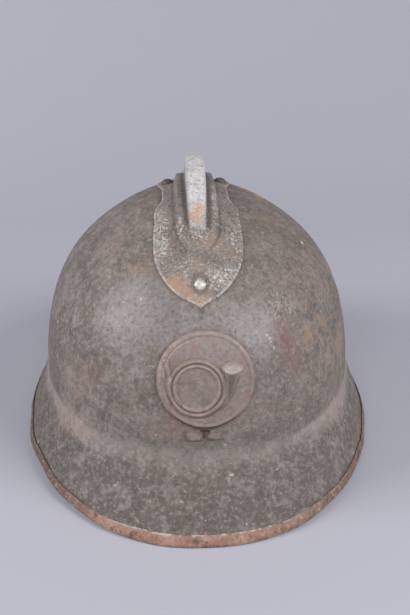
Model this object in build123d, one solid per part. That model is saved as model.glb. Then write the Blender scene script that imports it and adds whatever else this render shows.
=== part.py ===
from build123d import *
import math
import os

# A pressed steel helmet: one-piece shell with a flared brim, crimped rim binding, short comb,
# round horn badge, liner on an aluminium hoop, and a chin strap.
# Millimetres. The front faces -Y and +Z is up. The front and the back of the rim rest on z = 0.

# Shell
crown_half_width = 99.4
crown_half_length = 118.0
crown_rise = 113.3
equator_height = 46.2
crown_forward = 1.5
shell_wall = 0.9
brim_reach_side = 17.2
brim_reach_front = 27.0
brim_reach_rear = 30.0
brim_root_radius = 12.0
side_arch = 6.3
rim_flat = 0.35
rim_squareness = 2.13
section_points = 28
brim_section_shares = (1, 0.88, 0.76, 0.65, 0.55, 0.46, 0.38, 0.3, 0.23, 0.17, 0.12, 0.078, 0.049, 0.023)
shoulder_fullness = 2.6
shoulder_start = 36.0
shoulder_end = 76.0
shoulder_peak_share = 0.6
crown_section_angles = (0, 1, 2.5, 5, 9, 14, 20, 28, 36, 45, 54, 63, 71, 78, 84)

# Vent holes under the comb
vent_radius = 2.0
vent_row_offset = 5.0
vent_pitch = 9.0
vents_per_row = 6

# Rim binding
binding_wall = 0.6
binding_gap = 0.1
binding_height = 6.5
binding_sections = 4
binding_joint_gap = 0.5

# Comb
comb_wall = 0.9
comb_gap = 0.12
comb_half_length = 87.3
comb_half_width = 26.2
waist_half_width = 20.6
waist_half_length = 10.5
shoulder_half_length = 21.0
comb_tip_shares = ((0, 1), (0.47, 0.93), (0.775, 0.83), (0.96, 0.70), (1, 0.54), (0.975, 0.38))
rib_half_width = 13.0
rib_half_length = 65.0
rib_rise = 6.5
rib_tip_shares = ((0, 1), (0.36, 0.935), (0.86, 0.76), (0.97, 0.5))
ridge_half_width = 6.3
ridge_end_half_width = 4.4
ridge_half_length = 52.0
ridge_top_height = 179.6
ridge_round = 2.6

# Comb rivets
rivet_head_radius = 3.4
rivet_head_rise = 2.3
rivet_shank_radius = 1.6
rivet_clearance = 0.1
rivet_tail_radius = 2.8
rivet_tail_rise = 1.1
rivet_end_place = 77.3
rivet_side_place = 22.5
rivet_side_offset = 17.0

# Badge
badge_radius = 27.6
badge_wall = 0.7
badge_gap = 0.12
badge_centre_height = 88.0
badge_line_width = 1.0
badge_line_shares = (0.983, 0.882)
badge_line_rise = 0.45
horn_rise = 1.3
coil_centre_shares = (-0.188, -0.16)
coil_outer_share = 0.571
coil_inner_share = 0.45
bell_centre_shares = (0.562, 0.245)
bell_half_width = 6.6
bell_half_height = 3.5
bell_wall = 1.1
bell_hollow = 0.7
horn_tube_shares = (
    (0.53, 0.15, 0.13),
    (0.52, -0.1, 0.105),
    (0.45, -0.34, 0.082),
    (0.28, -0.53, 0.064),
    (0, -0.66, 0.052),
)
mouthpipe_shares = (
    (-0.67, -0.33, 0.042),
    (-0.78, -0.11, 0.038),
    (-0.79, 0.11, 0.038),
    (-0.82, 0.36, 0.045),
)
prong_width = 6.0
prong_wall = 0.5
prong_depth = 9.0
prong_spread = 32.0
prong_clearance = 0.3
spare_slot_width = 5.5
spare_slot_height = 1.6
spare_slot_place = 60.3

# Liner
liner_bottom = 50.0
hoop_depth = 9.0
hoop_wall = 0.6
hoop_height = 22.0
cloth_wall = 1.4
cloth_height = 25.0
leather_wall = 1.5
headband_height = 28.0
liner_gap = 0.15
tongue_count = 7
tongue_overlap = 6.0
tongue_gap = 0.6
tongue_top_clearance = 24.0
tongue_centre_radius = 20.0
tongue_slit_outer_radius = 2.2
tongue_slit_inner_radius = 8.5
tongue_slit_outer_share = 0.83
eyelet_radius = 1.9
eyelet_setback = 12.0

# Corrugated spacers between the hoop and the shell
spacer_wall = 0.4
spacer_height = 18.0
spacer_waves = 6
spacer_start_angle = 25.0
spacer_sweep_angle = 38.0
points_per_wave = 8

# Liner clips
clip_width = 11.0
clip_wall = 0.8
clip_foot_height = 12.0
clip_hook_height = 8.0
clip_side_angle = 16.0

# Chin strap rings and their lugs
ring_radius = 13.0
ring_wire_radius = 1.1
ring_axis_height = 42.0
ring_plane = 94.3
lug_bore_radius = 1.9
lug_wall = 0.8
lug_width = 3.0
lug_foot_width = 13.0
lug_foot_height = 15.0
strap_tuck_angle = 74.5

# Chin strap, in its own plane: across, then along the hanging direction
strap_wall = 1.8
strap_width = 15.0
strap_wire_gap = 0.15
strap_drop = 120.0
strap_cheek = (76.0, 80.0)
strap_chin_half_width = 36.0
strap_cheek_radius = 40.0
strap_chin_radius = 52.0
strap_fold_length = 22.0
strap_fold_neck = 9.0
strap_rivet_radius = 2.2
strap_rivet_rise = 0.7
strap_rivet_places = (13.0, 19.0)
buckle_place = 34.0
buckle_length = 15.0
buckle_width = 21.0
buckle_wire_radius = 1.0
keeper_place = 60.5
keeper_width = 6.0
keeper_wall = 1.2
slide_gap = 0.3

# Shared overruns for cuts
overrun = 5.0
far = 400.0

rim_drop = equator_height
centre_line = -crown_forward
rim_half_length = crown_half_length + (brim_reach_front + brim_reach_rear) / 2 + binding_gap + binding_wall


def flare(drop, reach):
    """Outward run and slope of the brim at a drop below the equator: a fillet, then a straight."""
    aside = reach - brim_root_radius
    tangent = math.sqrt(aside**2 + rim_drop**2 - brim_root_radius**2)
    lean = math.atan2(aside, rim_drop) + math.atan2(brim_root_radius, tangent)
    arc_drop = brim_root_radius * math.sin(lean)
    if drop < arc_drop:
        level = math.sqrt(brim_root_radius**2 - drop**2)
        return brim_root_radius - level, drop / level
    arc_run = brim_root_radius * (1 - math.cos(lean))
    return arc_run + (drop - arc_drop) * math.tan(lean), math.tan(lean)


def oval_sizes(height, depth):
    """Half width, half length, centre and squareness of the skin at a height, set in by depth."""
    if height >= equator_height:
        share = math.sqrt(max(0, 1 - ((height - equator_height) / (crown_rise - depth))**2))
        return (crown_half_width - depth) * share, (crown_half_length - depth) * share, centre_line, 2
    drop = equator_height - height
    runs = []
    for reach in (brim_reach_side, brim_reach_front, brim_reach_rear):
        run, slope = flare(drop, reach)
        runs.append(run - depth * math.sqrt(1 + slope**2))
    side, front, rear = runs
    squareness = 2 + (rim_squareness - 2) * drop / rim_drop
    half_length = crown_half_length + (front + rear) / 2
    return crown_half_width + side, half_length, centre_line + (rear - front) / 2, squareness


def shoulder(across, height):
    """How far the crown's sides stand out of the ellipsoid at half height."""
    if height <= equator_height:
        return 0
    share = (height - equator_height) / crown_rise
    power = math.log(1 / 2) / math.log(shoulder_peak_share)
    swell = math.sin(math.pi * share**power)**2
    aside = min(1, max(0, (abs(across) - shoulder_start) / (shoulder_end - shoulder_start)))
    return math.copysign(shoulder_fullness * swell * aside**2 * (3 - 2 * aside), across)


def signed_power(value, power):
    return math.copysign(abs(value)**power, value)


def oval(height, depth):
    """Closed level curve of the skin."""
    half_width, half_length, middle, squareness = oval_sizes(height, depth)
    points = []
    for index in range(section_points):
        angle = 2 * math.pi * index / section_points
        across = half_width * signed_power(math.cos(angle), 2 / squareness)
        along = half_length * signed_power(math.sin(angle), 2 / squareness)
        points.append((across + shoulder(across, height), middle + along, height))
    return Wire([Spline(*points, periodic=True).edge()])


def skin(depth):
    """Solid bounded by the whole shell surface, set in by depth, down past the rim."""
    rise = crown_rise - depth
    heights = [equator_height - (equator_height + overrun) * share for share in brim_section_shares]
    heights += [equator_height + rise * math.sin(math.radians(angle)) for angle in crown_section_angles]
    sections = [oval(height, depth) for height in heights]
    return Solid.make_loft(sections + [Vertex(0, centre_line, equator_height + rise)])


def rim_skin(depth):
    """The same surface near the rim only."""
    top = side_arch + binding_height + overrun
    heights = [-overrun + (top + overrun) * step / binding_sections for step in range(binding_sections + 1)]
    return Solid.make_loft([oval(height, depth) for height in heights])


def crown(depth, width_gain=0, length_gain=0, rise_gain=0):
    """The crown's full ellipsoid, set in by depth, with each half axis changed by its gain."""
    rise = crown_rise - depth + rise_gain
    across = (crown_half_width - depth + width_gain) / rise
    along = (crown_half_length - depth + length_gain) / rise
    return Pos(0, centre_line, equator_height) * scale(Sphere(rise), by=(across, along, 1))


def crown_layer(outer_depth, wall, low, height):
    """Strip of a layer under the crown between two levels."""
    slab = Pos(0, 0, low) * Box(far, far, height, align=(Align.CENTER, Align.CENTER, Align.MIN))
    return slab & (crown(outer_depth) - crown(outer_depth + wall))


def crown_point(across, along, depth=0):
    """Point on the crown's surface, given in plan about its centre."""
    wide = across / (crown_half_width - depth)
    long = along / (crown_half_length - depth)
    rise = (crown_rise - depth) * math.sqrt(1 - wide**2 - long**2)
    return Vector(across, centre_line + along, equator_height + rise)


def crown_normal(point):
    return Vector(
        point.X / crown_half_width**2,
        (point.Y - centre_line) / crown_half_length**2,
        (point.Z - equator_height) / crown_rise**2,
    ).normalized()


def under_arch(lift):
    """Everything below the rim's underside, raised by lift: flat at front and back, arched between."""
    sagitta = side_arch + rim_flat
    radius = (rim_half_length**2 + sagitta**2) / (2 * sagitta)
    spring = math.sqrt(2 * radius * side_arch - side_arch**2)
    with BuildPart() as cutter:
        with BuildSketch(Plane.YZ.offset(-far)):
            with BuildLine():
                Line((-far, lift), (-spring, lift))
                ThreePointArc((-spring, lift), (0, lift + side_arch), (spring, lift))
                Polyline((spring, lift), (far, lift), (far, -far), (-far, -far), (-far, lift))
            make_face()
        extrude(amount=2 * far)
    return cutter.part


def rivet_places():
    """Plan places of the comb's four rivets: front, rear, left and right."""
    return (
        (0, -rivet_end_place),
        (0, rivet_end_place),
        (-rivet_side_offset, rivet_side_place),
        (rivet_side_offset, rivet_side_place),
    )


def normal_plane(across, along):
    point = crown_point(across, along)
    return Plane(origin=point, x_dir=(1, 0, 0), z_dir=crown_normal(point))


def rivet_holes():
    hole = Cylinder(rivet_shank_radius + rivet_clearance, 2 * overrun)
    return [normal_plane(across, along).location * hole for across, along in rivet_places()]


def comb_rivets():
    """Domed heads on the comb and spread tails inside the shell."""
    seat = comb_gap + comb_wall + rivet_clearance
    tail_seat = -shell_wall - rivet_clearance
    head_ball = (rivet_head_radius**2 + rivet_head_rise**2) / (2 * rivet_head_rise)
    head = Pos(0, 0, seat + rivet_head_rise - head_ball) * Sphere(head_ball)
    head &= Pos(0, 0, seat) * Cylinder(far, far, align=(Align.CENTER, Align.CENTER, Align.MIN))
    shank = Pos(0, 0, tail_seat) * Cylinder(
        rivet_shank_radius, seat - tail_seat, align=(Align.CENTER, Align.CENTER, Align.MIN))
    tail = Pos(0, 0, tail_seat) * Cone(
        rivet_shank_radius, rivet_tail_radius, rivet_tail_rise,
        align=(Align.CENTER, Align.CENTER, Align.MAX))
    rivet = head + shank + tail
    return Compound([normal_plane(across, along).location * rivet for across, along in rivet_places()])


def front_plane(height):
    """Plane on the middle of the crown's front: across, up, and out along the surface normal."""
    level = (height - equator_height) / crown_rise
    return normal_plane(0, -crown_half_length * math.sqrt(1 - level**2))


def badge_plane():
    return front_plane(badge_centre_height)


def prong_planes():
    """Planes of the lower and the upper badge prong."""
    return [front_plane(badge_centre_height + side * prong_spread / 2) for side in (-1, 1)]


def prong_box(grow):
    """One badge prong's passage through the shell."""
    return Box(prong_width + 2 * grow, prong_wall + 2 * grow, 2 * overrun)


def shell():
    body = skin(0) - skin(shell_wall)
    body -= under_arch(binding_wall + binding_gap)
    cuts = list(rivet_holes())
    drill = Cylinder(vent_radius, far, align=(Align.CENTER, Align.CENTER, Align.MIN))
    for side in (-1, 1):
        for index in range(vents_per_row):
            along = (index - (vents_per_row - 1) / 2) * vent_pitch
            cuts.append(Pos(side * vent_row_offset, centre_line + along, equator_height) * drill)
    for plane in prong_planes():
        cuts.append(plane.location * prong_box(prong_clearance))
    slot = Box(spare_slot_width, far, spare_slot_height, align=(Align.CENTER, Align.MAX, Align.CENTER))
    cuts.append(Pos(0, 0, spare_slot_place) * slot)
    return body - cuts


def rim_binding():
    """Steel strip folded over the rim, its ends butted at the back."""
    out = binding_gap + binding_wall
    strip = rim_skin(-out) - rim_skin(shell_wall + out)
    channel = rim_skin(-binding_gap) - rim_skin(shell_wall + binding_gap)
    strip &= under_arch(binding_height)
    strip -= channel - under_arch(binding_wall)
    strip -= under_arch(0)
    joint = Box(binding_joint_gap, far, far, align=(Align.CENTER, Align.MIN, Align.CENTER))
    return strip - joint


def comb_outline():
    """Plan of the comb: a pointed shield at each end and a narrow waist."""
    front = [(comb_half_width * wide, -comb_half_length * long) for wide, long in comb_tip_shares]
    shoulder = (front[-1][0], -shoulder_half_length)
    waist = (waist_half_width, -waist_half_length)
    with BuildSketch() as outline:
        with BuildLine():
            for turn in (1, -1):
                for side in (1, -1):
                    tip = [(side * across, turn * along) for across, along in front]
                    bend = (side * shoulder[0], turn * shoulder[1])
                    neck = (side * waist[0], turn * waist[1])
                    Spline(*tip)
                    Polyline(tip[-1], bend, neck)
            for side in (1, -1):
                Line((side * waist[0], waist[1]), (side * waist[0], -waist[1]))
        make_face()
    return outline.sketch


def rib_outline(inset=0):
    """Plan of the raised rib: a long oval with pointed ends."""
    front = [((rib_half_width - inset) * wide, -(rib_half_length - inset) * long) for wide, long in rib_tip_shares]
    middle = (rib_half_width - inset, 0)
    with BuildSketch() as outline:
        with BuildLine():
            for side in (1, -1):
                half = [(side * across, along) for across, along in front]
                half.append((side * middle[0], 0))
                half += [(side * across, -along) for across, along in reversed(front)]
                Spline(*half)
        make_face()
    return outline.sketch


def rib_crown(inset=0):
    """Raised ellipsoid that meets the crown at the rib's two ends."""
    rise = crown_rise + rib_rise
    end_level = crown_rise * math.sqrt(1 - (rib_half_length / crown_half_length)**2)
    half_length = rib_half_length / math.sqrt(1 - (end_level / rise)**2)
    return crown(inset, width_gain=rib_rise, length_gain=half_length - crown_half_length, rise_gain=rib_rise)


def upright(outline):
    """Prism over a plan outline about the crown's centre."""
    return Pos(0, centre_line, equator_height) * extrude(outline, amount=far)


def ridge_outline(inset=0):
    """Plan of the ridge: widest in the middle, drawn in towards both ends."""
    with BuildSketch() as outline:
        with BuildLine():
            for side in (1, -1):
                end = side * (ridge_end_half_width - inset)
                ThreePointArc((end, -ridge_half_length), (side * (ridge_half_width - inset), 0), (end, ridge_half_length))
            for turn in (1, -1):
                end = ridge_end_half_width - inset
                Line((-end, turn * ridge_half_length), (end, turn * ridge_half_length))
        make_face()
    return outline.sketch


def ridge(inset=0):
    """Upright ridge along the top, arched from front to back."""
    end = crown_point(0, ridge_half_length).Z - inset
    column = upright(ridge_outline(inset))
    with BuildPart() as blade:
        with BuildSketch(Plane.YZ.offset(-(ridge_half_width - inset))):
            with BuildLine():
                ThreePointArc(
                    (centre_line - ridge_half_length, end),
                    (centre_line, ridge_top_height - inset),
                    (centre_line + ridge_half_length, end),
                )
                Polyline(
                    (centre_line + ridge_half_length, end),
                    (centre_line + ridge_half_length, equator_height),
                    (centre_line - ridge_half_length, equator_height),
                    (centre_line - ridge_half_length, end),
                )
            make_face()
        extrude(amount=2 * (ridge_half_width - inset))
        add(column, mode=Mode.INTERSECT)
        brinks = blade.faces().sort_by(Axis.Z)[-1].edges().sort_by(Axis.X)
        fillet([brinks[0], brinks[-1]], ridge_round - inset)
    return blade.part


def comb():
    """Pressed sheet: flange on the crown, raised rib, and the ridge along it."""
    flange = upright(comb_outline()) & crown(-comb_gap - comb_wall)
    rib = upright(rib_outline()) & rib_crown(-comb_gap)
    body = flange + rib + (ridge() & upright(rib_outline()))
    hollow = upright(rib_outline(comb_wall)) & rib_crown(comb_wall)
    hollow += ridge(comb_wall) & upright(rib_outline(comb_wall))
    return body - crown(-comb_gap) - hollow - rivet_holes()


def tapered_run(station_shares):
    """Flat figure of a tube that passes through stations of place and radius, given as badge shares."""
    circles = [
        Pos(badge_radius * across, badge_radius * up) * Circle(badge_radius * radius).edge()
        for across, up, radius in station_shares
    ]
    figure = Sketch()
    for start, end in zip(circles, circles[1:]):
        figure += make_hull([start, end])
    return figure


def badge_layer(figure, low, high):
    """A flat figure on the badge, standing between two heights over the crown."""
    column = extrude(figure, amount=2 * overrun, both=True)
    return (badge_plane().location * column & crown(-high)) - crown(-low)


def badge():
    """Pressed disc with two edge lines and a coiled horn in relief."""
    plate_top = badge_gap + badge_wall
    body = badge_layer(Sketch() + Circle(badge_radius), badge_gap, plate_top)
    lines = Sketch()
    for share in badge_line_shares:
        lines += Circle(badge_radius * share) - Circle(badge_radius * share - badge_line_width)
    body += badge_layer(lines, badge_gap, plate_top + badge_line_rise)
    coil_place = Pos(badge_radius * coil_centre_shares[0], badge_radius * coil_centre_shares[1])
    coil = coil_place * (Circle(badge_radius * coil_outer_share) - Circle(badge_radius * coil_inner_share))
    bell_place = Pos(badge_radius * bell_centre_shares[0], badge_radius * bell_centre_shares[1])
    bell = bell_place * Ellipse(bell_half_width, bell_half_height)
    horn = Sketch() + coil + tapered_run(horn_tube_shares) + tapered_run(mouthpipe_shares) + bell
    body += badge_layer(horn, badge_gap, plate_top + horn_rise)
    mouth = bell_place * Ellipse(bell_half_width - bell_wall, bell_half_height - bell_wall)
    body -= badge_layer(Sketch() + mouth, plate_top + horn_rise - bell_hollow, plate_top + overrun)
    return body


def badge_prongs():
    """Two sheet prongs behind the disc, through the shell and folded flat inside."""
    prongs = []
    stem_length = shell_wall + badge_gap + prong_clearance + prong_wall
    for plane, turn in zip(prong_planes(), (180, 0)):
        stem = Box(prong_width, prong_wall, stem_length, align=(Align.CENTER, Align.CENTER, Align.MAX))
        fold = Pos(0, -prong_wall / 2, -stem_length) * Box(
            prong_width, prong_depth, prong_wall, align=(Align.CENTER, Align.MIN, Align.MIN))
        prong = Rot(0, 0, turn) * (stem + fold)
        prongs.append(plane.location * prong)
    return prongs


def liner_layers():
    """Depths of the hoop, the cloth and the headband, each outside the next."""
    cloth_depth = hoop_depth + hoop_wall + liner_gap
    return cloth_depth, cloth_depth + cloth_wall + liner_gap


def tongues():
    """Seven leather tongues that rise from the headband and leave a hole at the top."""
    headband_depth = liner_layers()[1]
    seat_level = liner_bottom + headband_height - tongue_overlap / 2
    seat_half_width = oval_sizes(seat_level, headband_depth + leather_wall + tongue_gap)[0]
    rise = crown_rise - tongue_top_clearance
    share = math.sqrt(1 - ((seat_level - equator_height) / rise)**2)
    width_gain = seat_half_width / share - crown_half_width
    dome = [
        crown(inset, width_gain=width_gain, length_gain=width_gain, rise_gain=-tongue_top_clearance)
        for inset in (0, leather_wall)
    ]
    low = liner_bottom + headband_height - tongue_overlap
    body = dome[0] - dome[1]
    body &= Pos(0, 0, low) * Box(far, far, far, align=(Align.CENTER, Align.CENTER, Align.MIN))
    cuts = [extrude(Circle(tongue_centre_radius), amount=far)]
    for index in range(tongue_count):
        turn = 2 * math.pi * (index + 0.5) / tongue_count - math.pi / 2
        reach_x = seat_half_width * tongue_slit_outer_share * math.cos(turn)
        reach_y = (seat_half_width + crown_half_length - crown_half_width) * tongue_slit_outer_share * math.sin(turn)
        outer = Pos(reach_x, reach_y) * Circle(tongue_slit_outer_radius).edge()
        inner_x = tongue_centre_radius * math.cos(turn)
        inner_y = tongue_centre_radius * math.sin(turn)
        inner = Pos(inner_x, inner_y) * Circle(tongue_slit_inner_radius).edge()
        cuts.append(extrude(make_hull([outer, inner]), amount=far))
        middle = turn + math.pi / tongue_count
        eyelet_reach = tongue_centre_radius + eyelet_setback
        hole = Pos(eyelet_reach * math.cos(middle), eyelet_reach * math.sin(middle)) * Circle(eyelet_radius)
        cuts.append(extrude(hole, amount=far))
    return body - [Pos(0, centre_line, equator_height) * cut for cut in cuts]


def spacer(start_angle):
    """Corrugated aluminium strip that fills the space between the shell and the hoop."""
    outer_depth = shell_wall + liner_gap
    inner_depth = hoop_depth - liner_gap
    middle_depth = (outer_depth + inner_depth) / 2
    swing = (inner_depth - outer_depth) / 2
    sides = []
    for side in (-1, 1):
        points = []
        count = spacer_waves * points_per_wave
        for step in range(count + 1):
            angle = math.radians(start_angle + spacer_sweep_angle * step / count)
            wave = math.cos(2 * math.pi * spacer_waves * step / count)
            depth = middle_depth + swing * wave + side * spacer_wall / 2
            across = (crown_half_width - depth) * math.cos(angle)
            along = (crown_half_length - depth) * math.sin(angle)
            points.append((across, centre_line + along))
        sides.append(points)
    with BuildSketch() as plan:
        with BuildLine():
            Spline(*sides[0])
            Spline(*sides[1])
            Line(sides[0][0], sides[1][0])
            Line(sides[0][-1], sides[1][-1])
        make_face()
    low = liner_bottom + (hoop_height - spacer_height) / 2
    strip = Pos(0, 0, low) * extrude(plan.sketch, amount=spacer_height)
    return (strip & crown(outer_depth)) - crown(inner_depth)


def plan_location(angle, depth, height):
    """Place on a level curve of the crown, x along it and y inward."""
    turn = math.radians(angle)
    across = (crown_half_width - depth) * math.cos(turn)
    along = (crown_half_length - depth) * math.sin(turn)
    outward = Vector(math.cos(turn) / crown_half_width, math.sin(turn) / crown_half_length, 0)
    origin = (across, centre_line + along, height)
    return Plane(origin=origin, x_dir=(-outward.Y, outward.X, 0), z_dir=(0, 0, 1)).location


def liner_clip(angle):
    """Tab welded to the shell that passes under the liner and hooks up inside it."""
    headband_depth = liner_layers()[1]
    hook_depth = headband_depth + leather_wall + liner_gap
    low = liner_bottom - clip_wall - liner_gap
    place = plan_location(angle, 0, low)
    column = Box(clip_width, crown_half_width, far, align=(Align.CENTER, Align.MIN, Align.MIN))
    foot = crown_layer(shell_wall + liner_gap, clip_wall, low, clip_foot_height)
    web = crown_layer(shell_wall + liner_gap, hook_depth + clip_wall - shell_wall - liner_gap, low, clip_wall)
    hook = crown_layer(hook_depth, clip_wall, low, clip_hook_height)
    return (foot + web + hook) & (place * column)


def strap_ring(side):
    """D-shaped wire ring in the plane of the strap's swing, its straight bar through the axis."""
    ring = revolve(Pos(0, ring_radius) * Circle(ring_wire_radius), axis=Axis.X, revolution_arc=180)
    ring += Rot(90, 0, 0) * Cylinder(ring_wire_radius, 2 * ring_radius)
    for end in (-1, 1):
        ring += Pos(0, end * ring_radius, 0) * Sphere(ring_wire_radius)
    return Pos(side * ring_plane, 0, ring_axis_height) * Rot(-strap_tuck_angle, 0, 0) * ring


def ring_lug(side):
    """Lug welded inside the shell, with the eye that the ring slides through."""
    eye_height = ring_axis_height + ring_radius
    outer = lug_bore_radius + lug_wall
    eye = Pos(ring_plane, 0, eye_height) * Rot(90, 0, 0) * Cylinder(outer, lug_width)
    bore = Pos(ring_plane, 0, eye_height) * Rot(90, 0, 0) * Cylinder(lug_bore_radius, lug_width + overrun)
    low = eye_height - outer
    foot_layer = crown_layer(shell_wall + liner_gap, lug_wall, low, lug_foot_height)
    window = Pos(crown_half_width, 0, 0) * Box(
        crown_half_width, lug_foot_width, far, align=(Align.CENTER, Align.CENTER, Align.MIN))
    foot = foot_layer & window
    neck = Pos(ring_plane, 0, eye_height) * Box(
        crown_half_width - ring_plane, lug_width, outer, align=(Align.MIN, Align.CENTER, Align.MIN))
    neck &= crown(shell_wall + liner_gap)
    lug = (eye + foot + neck) - bore
    if side < 0:
        lug = lug.mirror(Plane.YZ)
    return lug


def strap_frame():
    """Frame of the strap's plane at rest: x across the helmet, y along the strap, tucked forward."""
    swing = math.radians(strap_tuck_angle)
    along = Vector(0, -math.sin(swing), -math.cos(swing))
    return Plane(origin=(0, 0, ring_axis_height), x_dir=(1, 0, 0), z_dir=Vector(1, 0, 0).cross(along))


def strap_line():
    """Centre line of the strap's leather from ring to ring."""
    edge = ring_plane - ring_wire_radius - strap_wire_gap - strap_wall / 2
    cheek_x, cheek_y = strap_cheek
    return FilletPolyline(
        (edge, 0),
        (cheek_x, cheek_y),
        (strap_chin_half_width, strap_drop),
        (-strap_chin_half_width, strap_drop),
        (-cheek_x, cheek_y),
        (-edge, 0),
        radius=(strap_cheek_radius, strap_chin_radius, strap_chin_radius, strap_cheek_radius),
    )


def strap_lean():
    """Angle of the strap's straight stretch from the hanging direction."""
    edge = ring_plane - ring_wire_radius - strap_wire_gap - strap_wall / 2
    return math.degrees(math.atan2(edge - strap_cheek[0], strap_cheek[1]))


def strap_place(side, distance, outward=0):
    """Place on a straight stretch at a distance from the ring, y along the strap."""
    edge = ring_plane - ring_wire_radius - strap_wire_gap - strap_wall / 2
    lean = math.radians(strap_lean())
    across = edge - distance * math.sin(lean) + outward * math.cos(lean)
    along = distance * math.cos(lean) + outward * math.sin(lean)
    return strap_frame().location * Pos(side * across, along, 0) * Rot(0, 0, side * strap_lean())


def strap_loop(side):
    """Outline of one folded end, round the ring's bar and back along the leather."""
    hold = ring_wire_radius + strap_wire_gap
    outer = hold + strap_wall
    lean = math.radians(strap_lean())
    edge = ring_plane - hold - strap_wall / 2
    neck = []
    tail = []
    for offset, ends in ((0, neck), (strap_wall, tail)):
        ends.append((edge - strap_fold_neck * math.sin(lean) + offset * math.cos(lean),
                     strap_fold_neck * math.cos(lean) + offset * math.sin(lean)))
    wrap = make_hull([
        Pos(ring_plane, 0) * Circle(outer).edge(),
        Pos(*neck[0]) * Circle(strap_wall / 2).edge(),
        Pos(*tail[0]) * Circle(strap_wall / 2).edge(),
    ])
    eye = make_hull([
        Pos(ring_plane, 0) * Circle(hold).edge(),
        Pos((neck[0][0] + tail[0][0]) / 2, neck[0][1] - strap_wall) * Circle(strap_wire_gap).edge(),
    ])
    back_length = strap_fold_length - strap_fold_neck
    back = Pos(edge - (strap_fold_neck + back_length / 2) * math.sin(lean) + strap_wall * math.cos(lean),
               (strap_fold_neck + back_length / 2) * math.cos(lean) + strap_wall * math.sin(lean))
    back = back * Rot(0, 0, strap_lean()) * Rectangle(strap_wall, back_length)
    figure = (Sketch() + wrap + back) - eye
    if side < 0:
        figure = figure.mirror(Plane.YZ)
    return figure, eye if side > 0 else Sketch() + eye.mirror(Plane.YZ)


def strap_rivet_locations():
    return [
        strap_place(side, distance, strap_wall / 2)
        for side in (-1, 1)
        for distance in strap_rivet_places
    ]


def chin_strap():
    line = Wire(strap_line().edges())
    ribbon = Sketch() + trace(line, line_width=strap_wall)
    for side in (-1, 1):
        loop, eye = strap_loop(side)
        ribbon += loop
        ribbon -= eye
    solid = extrude(ribbon, amount=strap_width / 2, both=True)
    hole = Rot(0, 90, 0) * Cylinder(strap_rivet_radius / 2 + rivet_clearance, strap_width)
    return (strap_frame().location * solid) - [place * hole for place in strap_rivet_locations()]


def strap_rivets():
    """Small rivets that close the two folded ends."""
    reach = strap_wall + strap_rivet_rise / 2
    head = Rot(0, 90, 0) * Cylinder(strap_rivet_radius, strap_rivet_rise)
    rivet = Rot(0, 90, 0) * Cylinder(strap_rivet_radius / 2, 2 * reach)
    for side in (-1, 1):
        rivet += Pos(side * reach, 0, 0) * head
    return Compound([place * rivet for place in strap_rivet_locations()])


def strap_buckle():
    """Wire frame with a middle bar, threaded on the left stretch of the strap."""
    place = strap_place(-1, buckle_place)
    rise = strap_wall / 2 + slide_gap + buckle_wire_radius
    half_width = buckle_width / 2
    half_length = buckle_length / 2
    frame = Part()
    for end in (-1, 0, 1):
        lift = rise if end else -rise
        frame += Pos(lift, end * half_length, 0) * Cylinder(buckle_wire_radius, 2 * half_width)
    for end in (-1, 1):
        posts = [(rise, -half_length), (-rise, 0), (rise, half_length)]
        for start, stop in zip(posts, posts[1:]):
            rail = Edge.make_line((start[0], start[1], end * half_width), (stop[0], stop[1], end * half_width))
            frame += sweep(Plane(origin=rail @ 0, z_dir=rail % 0) * Circle(buckle_wire_radius), path=rail)
        for post in posts:
            frame += Pos(post[0], post[1], end * half_width) * Sphere(buckle_wire_radius)
    return place * frame


def strap_keeper():
    """Leather loop that holds the strap's free end."""
    place = strap_place(-1, keeper_place)
    inner = Box(strap_wall + 2 * slide_gap, keeper_width + overrun, strap_width + 2 * slide_gap)
    outer = Box(
        strap_wall + 2 * slide_gap + 2 * keeper_wall, keeper_width, strap_width + 2 * slide_gap + 2 * keeper_wall)
    return place * (outer - inner)


def export_all():
    cloth_depth, headband_depth = liner_layers()
    nodes = {
        "shell": shell(),
        "rim_binding": rim_binding(),
        "comb": comb(),
        "comb_rivets": comb_rivets(),
        "badge": badge(),
        "liner_hoop": crown_layer(hoop_depth, hoop_wall, liner_bottom, hoop_height),
        "cloth_band": crown_layer(cloth_depth, cloth_wall, liner_bottom, cloth_height),
        "leather_headband": crown_layer(headband_depth, leather_wall, liner_bottom, headband_height),
        "leather_tongues": tongues(),
        "lug_left": ring_lug(-1),
        "lug_right": ring_lug(1),
        "ring_left": strap_ring(-1),
        "ring_right": strap_ring(1),
        "chin_strap": chin_strap(),
        "strap_rivets": strap_rivets(),
        "strap_buckle": strap_buckle(),
        "strap_keeper": strap_keeper(),
    }
    for name, prong in zip(("lower", "upper"), badge_prongs()):
        nodes[f"badge_prong_{name}"] = prong
    spacer_starts = {
        "rear_right": spacer_start_angle,
        "rear_left": 180 - spacer_start_angle - spacer_sweep_angle,
        "front_left": 180 + spacer_start_angle,
        "front_right": -spacer_start_angle - spacer_sweep_angle,
    }
    for name, angle in spacer_starts.items():
        nodes[f"spacer_{name}"] = spacer(angle)
    clip_angles = {"front": -90, "rear": 90, "left": 180 - clip_side_angle, "right": clip_side_angle}
    for name, angle in clip_angles.items():
        nodes[f"liner_clip_{name}"] = liner_clip(angle)
    os.makedirs("parts", exist_ok=True)
    for name, solid in nodes.items():
        export_step(solid, f"parts/{name}.step")


export_all()
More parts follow.
